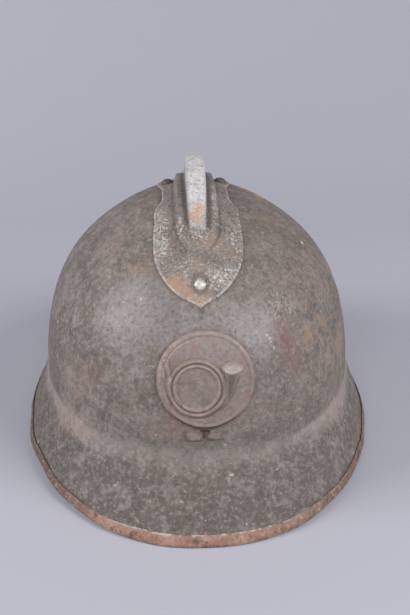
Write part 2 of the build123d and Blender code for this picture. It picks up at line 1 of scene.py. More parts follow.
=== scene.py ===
import bmesh
import bpy
import math
import numpy as np
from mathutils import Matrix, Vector


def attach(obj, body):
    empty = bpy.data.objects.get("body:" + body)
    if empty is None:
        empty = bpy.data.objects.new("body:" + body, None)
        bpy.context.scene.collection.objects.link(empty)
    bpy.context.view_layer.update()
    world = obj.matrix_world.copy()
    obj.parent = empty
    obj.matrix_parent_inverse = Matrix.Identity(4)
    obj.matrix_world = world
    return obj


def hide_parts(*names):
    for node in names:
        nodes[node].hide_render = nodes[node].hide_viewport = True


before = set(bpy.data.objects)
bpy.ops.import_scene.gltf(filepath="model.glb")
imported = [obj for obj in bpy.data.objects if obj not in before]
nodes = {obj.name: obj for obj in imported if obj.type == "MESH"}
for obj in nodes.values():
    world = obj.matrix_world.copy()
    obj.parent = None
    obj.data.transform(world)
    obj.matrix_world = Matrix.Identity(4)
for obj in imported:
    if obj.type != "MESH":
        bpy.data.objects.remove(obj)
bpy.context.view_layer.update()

MM = 0.001

# Sizes of the solids, in millimetres
crown_half_width = 99.4
crown_half_length = 118.0
crown_rise = 113.3
equator_height = 46.2
centre_line = -1.5
shell_wall = 0.9
brim_reach_side = 17.2
brim_reach_front = 27.0
brim_reach_rear = 30.0
brim_root_radius = 12.0
side_arch = 6.3
rim_flat = 0.35
rim_half_length = 147.2
rim_squareness = 2.13
binding_wall = 0.6
binding_gap = 0.1
comb_wall = 0.9
comb_gap = 0.12
comb_half_length = 87.3
comb_tip_length = 10.0
tip_rivet_along = 77.3
comb_rivets = ((0, -tip_rivet_along), (0, tip_rivet_along), (-17, 22.5), (17, 22.5))
vents_per_side = 6
vent_pitch = 9.0
vent_aside = 5.0
vent_radius = 2.0
rib_rise = 6.5
rib_half_length = 65.0
ridge_half_width = 6.3
ridge_end_half_width = 4.4
ridge_half_length = 52.0
ridge_top_height = 179.6
ridge_round = 2.6
shoulder_fullness = 2.6
shoulder_start = 36.0
shoulder_end = 76.0
shoulder_peak_share = 0.6
badge_radius = 27.6
badge_wall = 0.7
badge_gap = 0.12
badge_centre_height = 88.8
badge_prong_offset = 16.0
front_pads = ((-7.5, 57.6), (4.6, 58.0))
liner_bottom = 50.0
headband_height = 28.0
headband_depth = 11.3
cloth_depth = 9.75
cloth_wall = 1.4
cloth_height = 25.0
leather_wall = 1.5
tongue_count = 7
tongue_rise_gap = 24.0
tongue_root_share = 0.2
tongue_tip_share = 0.86
tongue_end_reach = 0.235
lace_hole_reach = 32.0
lace_hole_radius = 1.9
ring_plane = 94.3
ring_axis_height = 42.0
strap_tuck_angle = 74.5
strap_wall = 1.8
strap_width = 15.0
strap_hold = 1.25
strap_cheek = (76.0, 80.0)
strap_low = (36.0, 120.0)


# Plain helpers

def smooth_step(value, low, high):
    share = np.clip((value - low) / (high - low), 0, 1)
    return share * share * (3 - 2 * share)


def soft_max(first, second, blend):
    near = np.clip(blend - np.abs(first - second), 0, None) / blend
    return np.maximum(first, second) + near * near * blend / 4


def ripple(points, wavelength, seed, waves=14):
    """Smooth bumps of about unit height with that wavelength in millimetres."""
    source = np.random.default_rng(seed)
    total = np.zeros(points.shape[:-1])
    for _ in range(waves):
        direction = source.normal(size=3)
        direction /= np.linalg.norm(direction)
        rate = 2 * math.pi / (wavelength * source.uniform(0.7, 1.5))
        total += np.sin(points @ direction * rate + source.uniform(0, 2 * math.pi))
    return total / math.sqrt(waves)


def smooth_curve(points, per_span=12):
    """Catmull-Rom curve through a few points."""
    points = np.asarray(points, float)
    padded = np.vstack([2 * points[0] - points[1], points, 2 * points[-1] - points[-2]])
    out = []
    for index in range(len(points) - 1):
        a, b, c, d = padded[index:index + 4]
        for step in range(per_span):
            t = step / per_span
            out.append(0.5 * (2 * b + (c - a) * t + (2 * a - 5 * b + 4 * c - d) * t**2
                              + (3 * b - a - 3 * c + d) * t**3))
    out.append(points[-1])
    return np.array(out)


def strip(first, second, closed=True):
    """Faces between two runs of point numbers."""
    pairs = list(zip(first, second))
    after = pairs[1:] + pairs[:1] if closed else pairs[1:]
    return [(a, b, d, c) for (a, c), (b, d) in zip(pairs, after)]


def fan(middle, ring):
    """Faces from a middle point to a closed ring of points."""
    ring = list(ring)
    return [(middle, a, b) for a, b in zip(ring, ring[1:] + ring[:1])]


def grid_faces(rows, columns, closed=False, start=0, joined=False):
    """Faces of a grid of points: closed makes each row a ring, joined leads the last row to the first."""
    lines = [range(start + row * columns, start + (row + 1) * columns) for row in range(rows)]
    faces = []
    for first, second in zip(lines, lines[1:] + lines[:1] if joined else lines[1:]):
        faces += strip(first, second, closed)
    return faces


def end_faces(rows, columns):
    return [tuple(range(columns)), tuple(range((rows - 1) * columns, rows * columns))]


def two_skins(rows, count):
    """Faces of a bowl: two skins, each of rings round a middle point, that meet at the rim."""
    size = 1 + rows * count
    faces = []
    for start in (0, size):
        faces += fan(start, range(start + 1, start + 1 + count)) + grid_faces(rows, count, True, start + 1)
    return faces + strip(range(size - count, size), range(2 * size - count, 2 * size))


def smooth_mesh(mesh, sharp=42):
    mesh.polygons.foreach_set("use_smooth", [True] * len(mesh.polygons))
    mesh.set_sharp_from_angle(angle=math.radians(sharp))
    mesh.update()


def fill_mesh(name, points, faces, marks=None, sharp=42, merge=0.0, dissolve=0.0):
    """Mesh from millimetre points, normals outward, with named values for its materials."""
    mesh = bpy.data.meshes.new(name)
    mesh.from_pydata((np.asarray(points, float).reshape(-1, 3) * MM).tolist(), [], faces)
    for key, values in (marks or {}).items():
        attribute = mesh.attributes.new(key, "FLOAT", "POINT")
        attribute.data.foreach_set("value", np.asarray(values, np.float32).ravel())
    work = bmesh.new()
    work.from_mesh(mesh)
    if merge:
        bmesh.ops.remove_doubles(work, verts=work.verts, dist=merge)
    if dissolve:
        bmesh.ops.dissolve_degenerate(work, edges=work.edges, dist=dissolve)
    bmesh.ops.recalc_face_normals(work, faces=work.faces)
    work.to_mesh(mesh)
    work.free()
    smooth_mesh(mesh, sharp)
    return mesh


def cover(mesh, material):
    mesh.materials.clear()
    mesh.materials.append(material)


def add_object(name, data, material=None):
    made = bpy.data.objects.new(name, data)
    bpy.context.scene.collection.objects.link(made)
    if material is not None:
        cover(data, material)
    return made


def evaluated(made, **settings):
    """Mesh of an object with its modifiers applied."""
    graph = bpy.context.evaluated_depsgraph_get()
    graph.update()
    return bpy.data.meshes.new_from_object(made.evaluated_get(graph), depsgraph=graph, **settings)


def settle(made):
    """Turns an object's modifiers into plain mesh."""
    mesh = evaluated(made, preserve_all_data_layers=True)
    made.modifiers.clear()
    old = made.data
    made.data = mesh
    mesh.name = old.name
    bpy.data.meshes.remove(old)
    smooth_mesh(mesh)


def cut_holes(made, cutter_mesh):
    cutter = add_object(made.name + "_cutter", cutter_mesh)
    cut = made.modifiers.new("holes", "BOOLEAN")
    cut.operation = "DIFFERENCE"
    cut.solver = "EXACT"
    cut.object = cutter
    settle(made)
    bpy.data.objects.remove(cutter)
    bpy.data.meshes.remove(cutter_mesh)


def prisms(places):
    """One mesh of upright prisms: (base point, direction, length, outline) each, in millimetres."""
    points, faces = [], []
    for base, direction, length, outline in places:
        direction = np.asarray(direction, float) / np.linalg.norm(direction)
        across = np.array([1.0, 0, 0]) - direction * direction[0]
        across /= np.linalg.norm(across)
        up = np.cross(direction, across)
        start, count = len(points), len(outline)
        for end in (0, 1):
            for a, b in outline:
                points.append(np.asarray(base) + direction * length * end + across * a + up * b)
        low, high = range(start, start + count), range(start + count, start + 2 * count)
        faces += [tuple(reversed(low)), tuple(high), *strip(low, high)]
    mesh = bpy.data.meshes.new("prisms")
    mesh.from_pydata((np.array(points) * MM).tolist(), [], faces)
    return mesh


def circle(radius, count=20):
    turns = [2 * math.pi * index / count for index in range(count)]
    return [(radius * math.cos(turn), radius * math.sin(turn)) for turn in turns]


def box_outline(width, height):
    return [(a * width / 2, b * height / 2) for a, b in ((-1, -1), (1, -1), (1, 1), (-1, 1))]


# Materials

def tint(red, green, blue):
    """Colour as seen on a screen, 0 to 255, in the renderer's linear values."""
    line = []
    for part in (red, green, blue):
        share = part / 255
        line.append(share / 12.92 if share <= 0.04045 else ((share + 0.055) / 1.055)**2.4)
    return (*line, 1.0)


def add_node(tree, kind, inputs=None, **settings):
    """Node with its settings and its inputs: a value or another node's output for each."""
    made = tree.nodes.new(kind)
    for key, value in settings.items():
        setattr(made, key, value)
    for key, value in (inputs or {}).items():
        if isinstance(value, bpy.types.NodeSocket):
            tree.links.new(value, made.inputs[key])
        else:
            made.inputs[key].default_value = value
    return made


class Finish:
    """One material and the nodes that make it; tone is its colour so far."""

    def __init__(self, name, roughness=0.6, metallic=0.0):
        self.material = bpy.data.materials.new(name)
        self.material.use_nodes = True
        self.tree = self.material.node_tree
        self.shader = self.tree.nodes["Principled BSDF"]
        self.shader.inputs["Roughness"].default_value = roughness
        self.shader.inputs["Metallic"].default_value = metallic
        self.place = self.node("ShaderNodeTexCoord").outputs["Object"]
        self.tone = None

    def node(self, kind, inputs=None, **settings):
        return add_node(self.tree, kind, inputs, **settings)

    def maths(self, operation, first, second=0.0):
        return self.node("ShaderNodeMath", {0: first, 1: second}, operation=operation).outputs[0]

    def vector(self, operation, inputs):
        return self.node("ShaderNodeVectorMath", inputs, operation=operation).outputs

    def times(self, *values):
        total = values[0]
        for value in values[1:]:
            total = self.maths("MULTIPLY", total, value)
        return total

    def more(self, *values):
        total = values[0]
        for value in values[1:]:
            total = self.maths("MAXIMUM", total, value)
        return total

    def noise(self, size, detail=3.0, roughness=0.55, distortion=0.0, stretch=(1, 1, 1), seed=0.0):
        """Noise whose bumps are about size millimetres across."""
        place = self.place
        if seed:
            shift = (seed, seed * 0.37, -seed * 0.71)
            place = self.node(
                "ShaderNodeMapping", {"Vector": place, "Scale": stretch, "Location": shift}).outputs[0]
        return self.node("ShaderNodeTexNoise", {
            "Vector": place, "Scale": 1 / MM / size, "Detail": detail, "Roughness": roughness,
            "Distortion": distortion}).outputs[0]

    def cells(self, size, feature="F1", place=None):
        inputs = {"Vector": place or self.place, "Scale": 1 / MM / size}
        return self.node("ShaderNodeTexVoronoi", inputs, feature=feature).outputs["Distance"]

    def grade(self, value, low, high, start=0.0, end=1.0):
        """Value turned into start below low and end beyond high."""
        inputs = {0: value, 1: low, 2: high, 3: start, 4: end}
        return self.node("ShaderNodeMapRange", inputs, interpolation_type="SMOOTHSTEP").outputs[0]

    def cloud(self, low, high, *shape, start=0.0, end=1.0, **more):
        """Noise, graded between two of its levels."""
        return self.grade(self.noise(*shape, **more), low, high, start, end)

    def mix(self, amount, first, second):
        return self.node("ShaderNodeMix", {0: amount, 6: first, 7: second}, data_type="RGBA").outputs[2]

    def base(self, amount, first, second):
        self.tone = self.mix(amount, tint(*first), tint(*second))

    def coat(self, shade, *amounts):
        """Lays a screen colour over the tone, as strongly as all the amounts multiplied."""
        self.tone = self.mix(self.times(*amounts), self.tone, tint(*shade))

    def mark(self, name):
        made = self.node("ShaderNodeAttribute", attribute_type="GEOMETRY", attribute_name=name)
        return made.outputs["Fac"]

    def axis(self, name):
        return self.node("ShaderNodeSeparateXYZ", {0: self.place}).outputs[name]

    def warped(self, size, shift, seed=0.0):
        """The place, pushed about by noise, so that patches get ragged outlines."""
        noise = self.node("ShaderNodeTexNoise", {"Vector": self.place, "Scale": 1 / MM / size, "Detail": 4})
        centred = self.vector("SUBTRACT", {0: noise.outputs["Color"], 1: (0.5 + seed, 0.5, 0.5 - seed)})
        scaled = self.vector("SCALE", {0: centred[0], "Scale": shift * MM * 2})
        return self.vector("ADD", {0: self.place, 1: scaled[0]})[0]

    def patch(self, centre, sizes, place, soft=0.5):
        """1 inside an ellipsoid about a place in millimetres, fading to 0 outside."""
        mapping = self.node("ShaderNodeMapping", {
            "Location": [value * MM for value in centre], "Scale": [value * MM for value in sizes],
            "Vector": place}, vector_type="TEXTURE")
        length = self.vector("LENGTH", {0: mapping.outputs[0]})["Value"]
        return self.grade(length, 1 - soft, 1 + soft, 1.0, 0.0)

    def patches(self, place, soft, *rows):
        """The strongest of several patches, given as centre, sizes and strength."""
        return self.more(*[
            self.times(self.patch(centre, sizes, place, soft), *strength)
            for centre, sizes, *strength in rows])

    def stains(self, place, soft, grain, rows):
        """Stains of that grain, given as centre, sizes, strength and shade."""
        for centre, sizes, strength, shade in rows:
            self.coat(shade, self.patch(centre, sizes, place, soft), grain, strength)

    def feed(self, name, value):
        self.tree.links.new(value, self.shader.inputs[name])

    def done(self, relief=None, strength=0.0, distance=0.0, **more):
        """The material with its tone, relief and other inputs in place."""
        self.feed("Base Color", self.tone)
        for name, value in more.items():
            self.feed(name, value)
        if relief is not None:
            inputs = {"Strength": strength, "Distance": distance * MM, "Height": relief}
            self.feed("Normal", self.node("ShaderNodeBump", inputs).outputs[0])
        return self.material


def old_paint(name, marked_edges=False):
    """Worn olive-brown paint: cloudy mottling, rubbed blotches, rust stains, scratches and specks, with
    painted sheen, light and shade in places.
    """
    f = Finish(name, roughness=0.6)
    ragged = f.warped(14, 9)
    torn = f.warped(4.5, 3.5, seed=0.1)
    brim = f.mark("brim")
    inside = f.mark("inside")
    x = f.axis("X")
    z = f.axis("Z")
    blotch = f.noise(7.4, 5, 0.6, 0.15, seed=12)
    f.base(f.cloud(0.35, 0.65, 38, 4, 0.6), (113, 104, 98), (131, 121, 116))
    f.coat((102, 93, 88), f.cloud(0.42, 0.66, 13, 5, 0.62, seed=3), 0.6)
    f.coat((130, 116, 104), f.cloud(0.5, 0.66, 24, 4, 0.6, seed=17), 0.5)
    # Places on the front of the dome painted lighter and bluish as a painted sheen, with a lower roughness
    sheen_and_smooth = f.more(
        f.patch((-40, -80, 117), (24, 22, 22), ragged, 0.55),
        f.patches(ragged, 0.5, ((24, -94, 110), (17, 14, 22)), ((0, -100, 112), (34, 20, 14), 0.8)))
    f.coat((146, 138, 141), sheen_and_smooth, 0.62)
    # The brim darker, most at its front: partly its own tone, partly painted shade in place of less light
    # on it
    brim_tone_and_painted_shade = f.more(f.times(f.grade(f.axis("Y"), -0.09, -0.12), 0.86), 0.66)
    f.coat((98, 90, 84), f.grade(brim, 0.12, 0.34), brim_tone_and_painted_shade)
    # Pale rubbed blotches, mostly on the left and on the brim
    left = f.grade(x, 0.03, -0.07)
    low = f.grade(z, 0.085, 0.05)
    where = f.more(f.times(left, 0.9), f.times(low, 0.45), f.times(f.grade(brim, 0.0, 0.25), 0.62), 0.46)
    where = f.times(where, f.grade(sheen_and_smooth, 0.0, 0.8, 1.0, 0.25))
    pale = f.times(f.grade(blotch, 0.49, 0.64), where)
    f.coat((156, 146, 141), pale, 0.64)
    f.coat((88, 80, 75), f.grade(blotch, 0.46, 0.36), f.more(where, 0.4), 0.55)
    # Darker towards the far left side
    f.coat((92, 84, 79), f.grade(x, -0.072, -0.098), 0.42)
    fine = f.noise(2.3, 5, 0.72, seed=8)
    f.coat((168, 158, 153), f.grade(fine, 0.5, 0.66), 0.5)
    f.coat((80, 72, 68), f.grade(fine, 0.48, 0.35), 0.6)
    # Brown streaks down the right side
    run = f.noise(6.5, 5, 0.66, 0.3, stretch=(1.0, 1.0, 0.42), seed=33)
    f.coat((158, 130, 108), f.grade(run, 0.49, 0.62), f.patch((78, -52, 98), (28, 46, 40), ragged), 0.5)
    f.coat((92, 84, 78), f.grade(run, 0.46, 0.36), f.patch((80, -52, 92), (28, 46, 46), ragged), 0.5)
    # Pale dust on the brim's root, pinkish at its ends; at the front it reaches up the dome as painted
    # light over the shade in the bend
    front = f.grade(f.axis("Y"), -0.085, -0.12)
    painted_light_above_root = f.times(front, f.grade(z, (equator_height + 5) * MM, (equator_height - 1) * MM))
    start = f.more(f.grade(brim, 0.0, 0.07), painted_light_above_root)
    dust_and_painted_light = f.times(start, f.grade(f.maths("ADD", brim, f.times(front, 0.11)), 0.33, 0.1))
    powder = f.cloud(0.34, 0.6, 9, 5, 0.66, seed=40, start=0.3)
    f.coat((162, 151, 146), dust_and_painted_light, powder, 0.66)
    rust_grain = f.cloud(0.38, 0.6, 4.2, 5, 0.7, seed=50)
    f.stains(ragged, 0.6, rust_grain, (
        ((-54, -31, 137), (12, 10, 9), 0.62, (166, 142, 134)),
        ((-41, -57, 134.6), (3.4, 3.4, 3.4), 0.55, (176, 148, 128)),
        ((-33, -62, 136), (8, 11, 10), 0.55, (152, 124, 104)),
        ((-67, -20, 128), (15, 16, 13), 0.5, (100, 92, 86)),
        ((-64, -84.5, 80), (10, 9, 8), 0.5, (148, 112, 100)),
        ((-74, -77, 66), (13, 13, 7), 0.6, (160, 130, 116)),
        ((-80, -74, 42), (20, 18, 9), 0.6, (174, 150, 138)),
        ((84, -66, 41), (20, 18, 9), 0.66, (160, 142, 136)),
        ((47.6, -88, 96), (7.5, 9, 25), 0.9, (124, 94, 90)),
        ((47.2, -89, 98), (5.5, 8, 19), 0.8, (118, 86, 83)),
        ((42, -76, 120), (16, 14, 18), 0.5, (150, 134, 130)),
        ((62, -78, 96), (6, 6, 6), 0.6, (164, 132, 106)),
        ((69, -40, 119), (7, 13, 12), 0.4, (154, 130, 110)),
        ((86.6, -50, 76), (5, 9, 13), 0.5, (160, 132, 110)),
        ((40, 20, 147), (12, 7, 6), 0.85, (200, 148, 108)),
        ((40, -18, 148.6), (14, 10, 8), 0.35, (156, 128, 106)),
        ((24, -114, 66), (26, 8, 10), 0.3, (150, 126, 112)),
        ((-22, -116, 62), (22, 9, 9), 0.45, (150, 118, 104)),
    ))
    # Grime along the edges of the comb and of the badge, with painted shadow in the seams where they meet
    # the shell
    f.coat((92, 70, 58), f.mark("grime_and_shadow"), f.cloud(0.3, 0.6, 5, 4, 0.66, seed=55, start=0.45), 0.85)
    # Painted highlight on the two pads under the badge, and painted shadow in the gap between them
    for across, _ in front_pads:
        f.coat((158, 138, 130), f.patch((across, -119, 58.2), (3.4, 4, 2.0), torn, 0.25), 0.55)
    f.coat((64, 52, 48), f.patch((-1.4, -119, 58.0), (1.0, 4, 3.0), f.place, 0.3), 0.7)
    # Scratches and pecks: short strokes in a few places and sparse ones all over
    strokes = f.noise(1.2, 3, 0.6, 0.4, stretch=(1.0, 0.6, 0.36), seed=60)
    pecked = f.more(
        f.patches(torn, 0.5, ((44, -78, 116), (11, 9, 11)), ((47, -91, 96), (6, 7, 13), 0.25)),
        f.patches(torn, 0.4, ((46.4, -101, 77), (4, 5, 11), 0.6)))
    f.coat((92, 78, 77), f.grade(strokes, 0.45, 0.36), pecked, 0.6)
    f.coat((190, 182, 180), f.grade(strokes, 0.54, 0.62), pecked, 0.5)
    specks = f.cells(5.5, place=torn)
    speck_where = f.more(f.times(where, 0.5), f.cloud(0.52, 0.62, 26, 3, 0.5, seed=66), f.times(brim, 0.8))
    specks = f.times(f.grade(specks, 0.16, 0.09), f.cloud(0.55, 0.6, 9, 2, 0.5, seed=68), speck_where)
    f.coat((198, 192, 186), specks, 0.85)
    scored = f.noise(1.3, 2, 0.5, 0.6, stretch=(0.22, 0.5, 1.0), seed=71)
    scored = f.times(f.grade(scored, 0.67, 0.72), f.cloud(0.45, 0.6, 30, 2, 0.5, seed=64))
    f.coat((176, 168, 162), scored, 0.55)
    for centre, radius in (
        ((63.8, -21.4, 130.9), 1.5), ((11.7, -123.9, 34.6), 1.1), ((45.3, -123.9, 18.6), 1.0),
        ((10, -118.8, 51.5), 0.9), ((35.4, -92.3, 106), 0.7), ((36.6, -92.6, 104.6), 0.5),
        ((37.4, -93.6, 102.6), 0.5), ((-36, -83, 115), 1.0), ((-55, -64, 118.5), 0.9),
        ((-45, -74, 118.6), 0.9), ((-15.5, -131.5, 22), 0.8), ((-33, -128, 19), 1.1),
        ((-40, -122, 25), 0.9),
    ):
        f.coat((216, 211, 207), f.patch(centre, [radius] * 3, torn, 0.7), 0.72)
    if marked_edges:
        raised_and_lit = f.mark("raised_and_lit")
        groove_and_shadow = f.mark("groove_and_shadow")
        f.coat((152, 133, 126), f.noise(10, 4, 0.6, seed=69), 0.74)
        reddish = f.cloud(0.52, 0.66, 7, 5, 0.7, seed=73)
        f.coat((142, 104, 94), reddish, f.grade(groove_and_shadow, 0.9, 0.1, 0.5, 1.0), 0.5)
        # Raised lines worn pale, most on the left and at the top: real wear with a painted highlight on the
        # sides towards the light
        worn = f.times(raised_and_lit, f.cloud(0.4, 0.6, 3.4, 5, 0.74, seed=70, start=0.1))
        worn = f.times(worn, f.more(f.grade(x, 0.012, -0.004), f.grade(z, 0.084, 0.092), 0.66))
        f.coat((182, 158, 146), worn, 0.82)
        # Dark in the grooves, with painted shadow below some ridges and under the badge's lower edge
        f.coat((70, 56, 50), groove_and_shadow, 0.72)
        f.coat((186, 178, 172), f.mark("mouth"), f.cloud(0.3, 0.56, 2.4, 3, 0.6, seed=75, start=0.5), 0.8)
    f.coat((92, 88, 78), inside, 0.55)
    f.shader.inputs["Specular IOR Level"].default_value = 0.42
    rough = f.cloud(0.3, 0.75, 6, 4, 0.6, seed=80, start=0.52, end=0.72)
    relief = f.maths("ADD", f.times(f.noise(3.2, 5, 0.65, seed=90), 0.55), f.times(pale, -0.3))
    relief = f.maths("ADD", relief, f.times(fine, 0.5))
    return f.done(relief, 0.42, 0.3, Roughness=f.maths("SUBTRACT", rough, f.times(sheen_and_smooth, 0.14)))


def comb_paint():
    """Flaked silvery paint over grey steel, with orange rust low on the left."""
    f = Finish("comb_paint", roughness=0.55)
    ragged = f.warped(9, 6)
    edge = f.mark("edge")
    top = f.mark("top")
    side = f.mark("side")
    f.base(f.cloud(0.36, 0.64, 14, 4, 0.6), (114, 104, 98), (140, 130, 124))
    fine = f.noise(2.4, 5, 0.74, seed=5)
    f.coat((74, 65, 60), f.grade(fine, 0.48, 0.36), 0.85)
    f.coat((148, 118, 98), f.cloud(0.52, 0.66, 6.0, 5, 0.68, 0.3, seed=9), 0.3)
    f.coat((190, 178, 170), f.cloud(0.49, 0.6, 1.1, 4, 0.7, seed=18), 0.3)
    # Paint flaked to bright metal, mostly on the ridge, the left flange and the lower right
    flaked = f.patches(
        ragged, 0.5, ((-23, -44, 150), (6, 32, 19), 0.62), ((12, -76, 134), (13, 11, 9), 0.62),
        ((22, -54, 146), (5, 18, 12), 0.5), ((-11, -47, 153), (3.6, 10, 8), 0.62),
        ((10.6, -30, 161), (3.2, 24, 10), 0.62), ((-8, -70, 139), (8, 7, 7), 0.5),
        ((0, -52, 152), (5, 8, 7), 0.6))
    dense = f.more(flaked, f.times(top, 0.42), f.times(edge, 0.55), 0.26)
    flake_field = f.noise(1.6, 6, 0.82, seed=20)
    crest = f.mark("crest")
    torn_crest = f.maths("ADD", crest, f.maths("SUBTRACT", f.noise(2.6, 4, 0.7, seed=22), 0.5))
    crown = f.times(f.grade(torn_crest, 0.3, 0.5), f.cloud(0.34, 0.52, 5, 5, 0.72, seed=23, start=0.55))
    crown = f.times(crown, f.grade(f.axis("Y"), -0.05, -0.036, 0.45, 1.0))
    f.coat((214, 213, 215), crown, 0.92)
    f.coat((140, 131, 127), crest, f.cloud(0.5, 0.4, 1.8, 5, 0.76, seed=26), 0.7)
    rust_grain = f.cloud(0.36, 0.56, 2.6, 5, 0.74, seed=14, start=0.15)
    f.stains(ragged, 0.55, rust_grain, (
        ((-16, -80, 130.5), (9, 7, 7), 0.74, (180, 138, 110)),
        ((-4, -87, 126), (8, 4, 4), 0.75, (190, 150, 120)),
        ((-1.5, -44, 161), (3, 5, 7), 0.85, (190, 142, 110)),
        ((-1, -10, 179), (4, 2.4, 3), 0.6, (180, 140, 116)),
        ((-1.6, -70, 139.6), (3.5, 6, 6), 0.45, (170, 136, 114)),
        ((19.6, -61, 142.5), (4, 5, 4), 0.35, (150, 120, 102)),
        ((2.5, -57, 148), (6, 4, 4), 0.45, (166, 132, 110)),
        ((9, -56, 147.6), (4, 6, 5), 0.35, (156, 126, 106)),
    ))
    bound = f.maths("SUBTRACT", 0.617, f.times(dense, 0.19))
    flakes = f.grade(f.maths("SUBTRACT", flake_field, bound), 0.0, 0.08)
    f.coat((224, 221, 219), flakes, 0.85)
    line = f.times(f.mark("brink"), f.cloud(0.4, 0.58, 3, 5, 0.72, seed=24))
    line = f.times(line, f.more(f.grade(f.axis("X"), 0.0, -0.01), f.grade(f.axis("Y"), -0.055, -0.07), 0.2))
    f.coat((204, 196, 188), line, 0.7)
    glints = f.cloud(0.62, 0.68, 1.5, 4, 0.8, seed=27)
    f.coat((226, 222, 216), glints, f.grade(dense, 0.2, 0.6, 0.5, 1.0), 0.8)
    # Painted shade in the gully beside the ridge, along the foot of the rib and in the dimples round the
    # tip rivets
    f.coat((76, 68, 63), side, 0.62)
    rough = f.cloud(0.3, 0.7, 4, 4, 0.6, seed=33, start=0.42, end=0.66)
    return f.done(f.maths("ADD", f.times(flakes, 0.5), fine), 0.55, 0.34, Roughness=rough)


def binding_paint():
    """Red-brown rusted strip: dark pits, paler rubbed runs and a broken bright upper edge, with painted
    shade on both sides.
    """
    f = Finish("binding_steel", roughness=0.68)
    lip = f.mark("lip")
    x = f.axis("X")
    f.base(f.cloud(0.36, 0.64, 12, 4, 0.6), (150, 112, 97), (174, 136, 122))
    # Both sides of the strip darker than its front: painted shade
    f.coat((108, 90, 79), f.grade(x, 0.01, 0.09), 0.85)
    f.coat((88, 71, 62), f.grade(x, -0.05, -0.1), 0.9)
    fine = f.noise(2.4, 5, 0.74, seed=4)
    f.coat((96, 74, 66), f.grade(fine, 0.47, 0.35), 0.7)
    f.coat((194, 170, 158), f.grade(fine, 0.53, 0.66), 0.55)
    f.coat((176, 158, 148), f.cloud(0.54, 0.62, 3.4, 5, 0.76, seed=19), f.grade(x, -0.045, -0.09), 0.6)
    f.coat((88, 74, 68), f.cloud(0.57, 0.64, 6.5, 5, 0.66, seed=17), 0.82)
    f.coat((104, 86, 76), lip, 0.6)
    near = f.more(f.patch((-8, -140, 8), (62, 26, 24), f.place, 0.5), 0.3)
    f.coat((206, 194, 186), lip, near, f.cloud(0.42, 0.58, 6, 5, 0.7, seed=11, start=0.1), 0.9)
    rough = f.cloud(0.3, 0.7, 3, 3, start=0.5, end=0.75)
    return f.done(f.noise(1.8, 5, 0.7, seed=3), 0.5, 0.3, Roughness=rough)


def plain_metal(name, light, dark, rust=0.3, metallic=0.6, roughness=0.45):
    """Bare or plated metal: brushed mottling with a little rust or dull oxide."""
    f = Finish(name, roughness=roughness, metallic=metallic)
    f.base(f.noise(7, 4, 0.6), dark, light)
    f.coat(dark, f.cloud(0.5, 0.7, 1.6, 4, 0.7, seed=2), 0.5)
    stain = f.cloud(0.66 - rust * 0.3, 0.78 - rust * 0.3, 4, 5, 0.68, seed=6)
    f.coat((118, 84, 62), stain, min(1.0, rust * 1.6))
    metal = f.grade(stain, 0.0, 1.0, metallic, metallic * 0.25)
    rough = f.cloud(0.3, 0.7, 2.2, 3, 0.6, seed=9, start=roughness - 0.1, end=roughness + 0.15)
    return f.done(f.noise(1.1, 4, 0.7, seed=13), 0.3, 0.12, Roughness=rough, Metallic=metal)


def comb_rivet_steel():
    """Rivet heads: worn bright at the tips of the comb, dark beside its ridge as painted shade."""
    f = Finish("rivet_steel", roughness=0.45)
    worn = f.grade(f.maths("ABSOLUTE", f.axis("Y")), 0.045, 0.06)
    bright = f.mix(f.cloud(0.36, 0.6, 1.8, 4, 0.7), tint(176, 170, 163), tint(226, 223, 218))
    dull_painted_shade = f.mix(f.noise(2.2, 4, 0.7, seed=4), tint(70, 62, 58), tint(112, 102, 96))
    f.tone = f.mix(worn, dull_painted_shade, bright)
    f.coat((146, 108, 84), f.cloud(0.56, 0.66, 2.4, 4, 0.7, seed=8), 0.5)
    rough = f.cloud(0.3, 0.7, 1.2, 3, 0.6, seed=9, start=0.36, end=0.6)
    return f.done(f.noise(1.4, 3, 0.6, seed=13), 0.6, 0.25, Roughness=rough, Metallic=f.times(worn, 0.3))


def leather(name, light, dark, grain=0.9):
    """Old leather: pebbled grain, darker handled areas, crazed lines, pale rubbed edges."""
    f = Finish(name, roughness=0.55)
    worn = f.mark("worn")
    f.base(f.noise(24, 4, 0.6), dark, light)
    f.coat([v * 0.66 for v in dark], f.cloud(0.5, 0.7, 6, 5, 0.66, seed=4), 0.55)
    cracks = f.grade(f.cells(2.6 * grain, "DISTANCE_TO_EDGE", f.warped(3, 1.2)), 0.0, 0.09, 1.0, 0.0)
    f.coat([v * 0.55 for v in dark], cracks, 0.35)
    f.coat([min(255, v * 1.28) for v in light], worn, f.cloud(0.3, 0.65, 3.5, 4, 0.6, seed=11), 0.75)
    rough = f.cloud(0.3, 0.7, 5, 3, 0.6, seed=15, start=0.42, end=0.7)
    relief = f.maths("SUBTRACT", f.noise(0.9 * grain, 4, 0.6, seed=19), f.times(cracks, 0.8))
    return f.done(relief, 0.45, 0.22, Roughness=rough)


def wool_cloth():
    """Dark blue-grey wool: woven ribs under a soft nap."""
    f = Finish("liner_cloth", roughness=0.95)
    f.base(f.noise(14, 4, 0.6), (58, 61, 72), (78, 80, 90))
    f.coat((110, 108, 108), f.noise(0.8, 4, 0.7, seed=3), 0.5)
    f.coat((96, 84, 72), f.cloud(0.55, 0.7, 5, 4, 0.66, seed=5), 0.4)
    ribs = {"Vector": f.place, "Scale": 420, "Distortion": 2.5, "Detail Scale": 6}
    weave = f.node("ShaderNodeTexWave", ribs, bands_direction="Z").outputs["Fac"]
    f.coat((48, 50, 60), weave, 0.25)
    f.shader.inputs["Sheen Weight"].default_value = 0.35
    return f.done(f.maths("ADD", f.times(weave, 0.5), f.noise(0.7, 3, 0.7)), 0.6, 0.3)


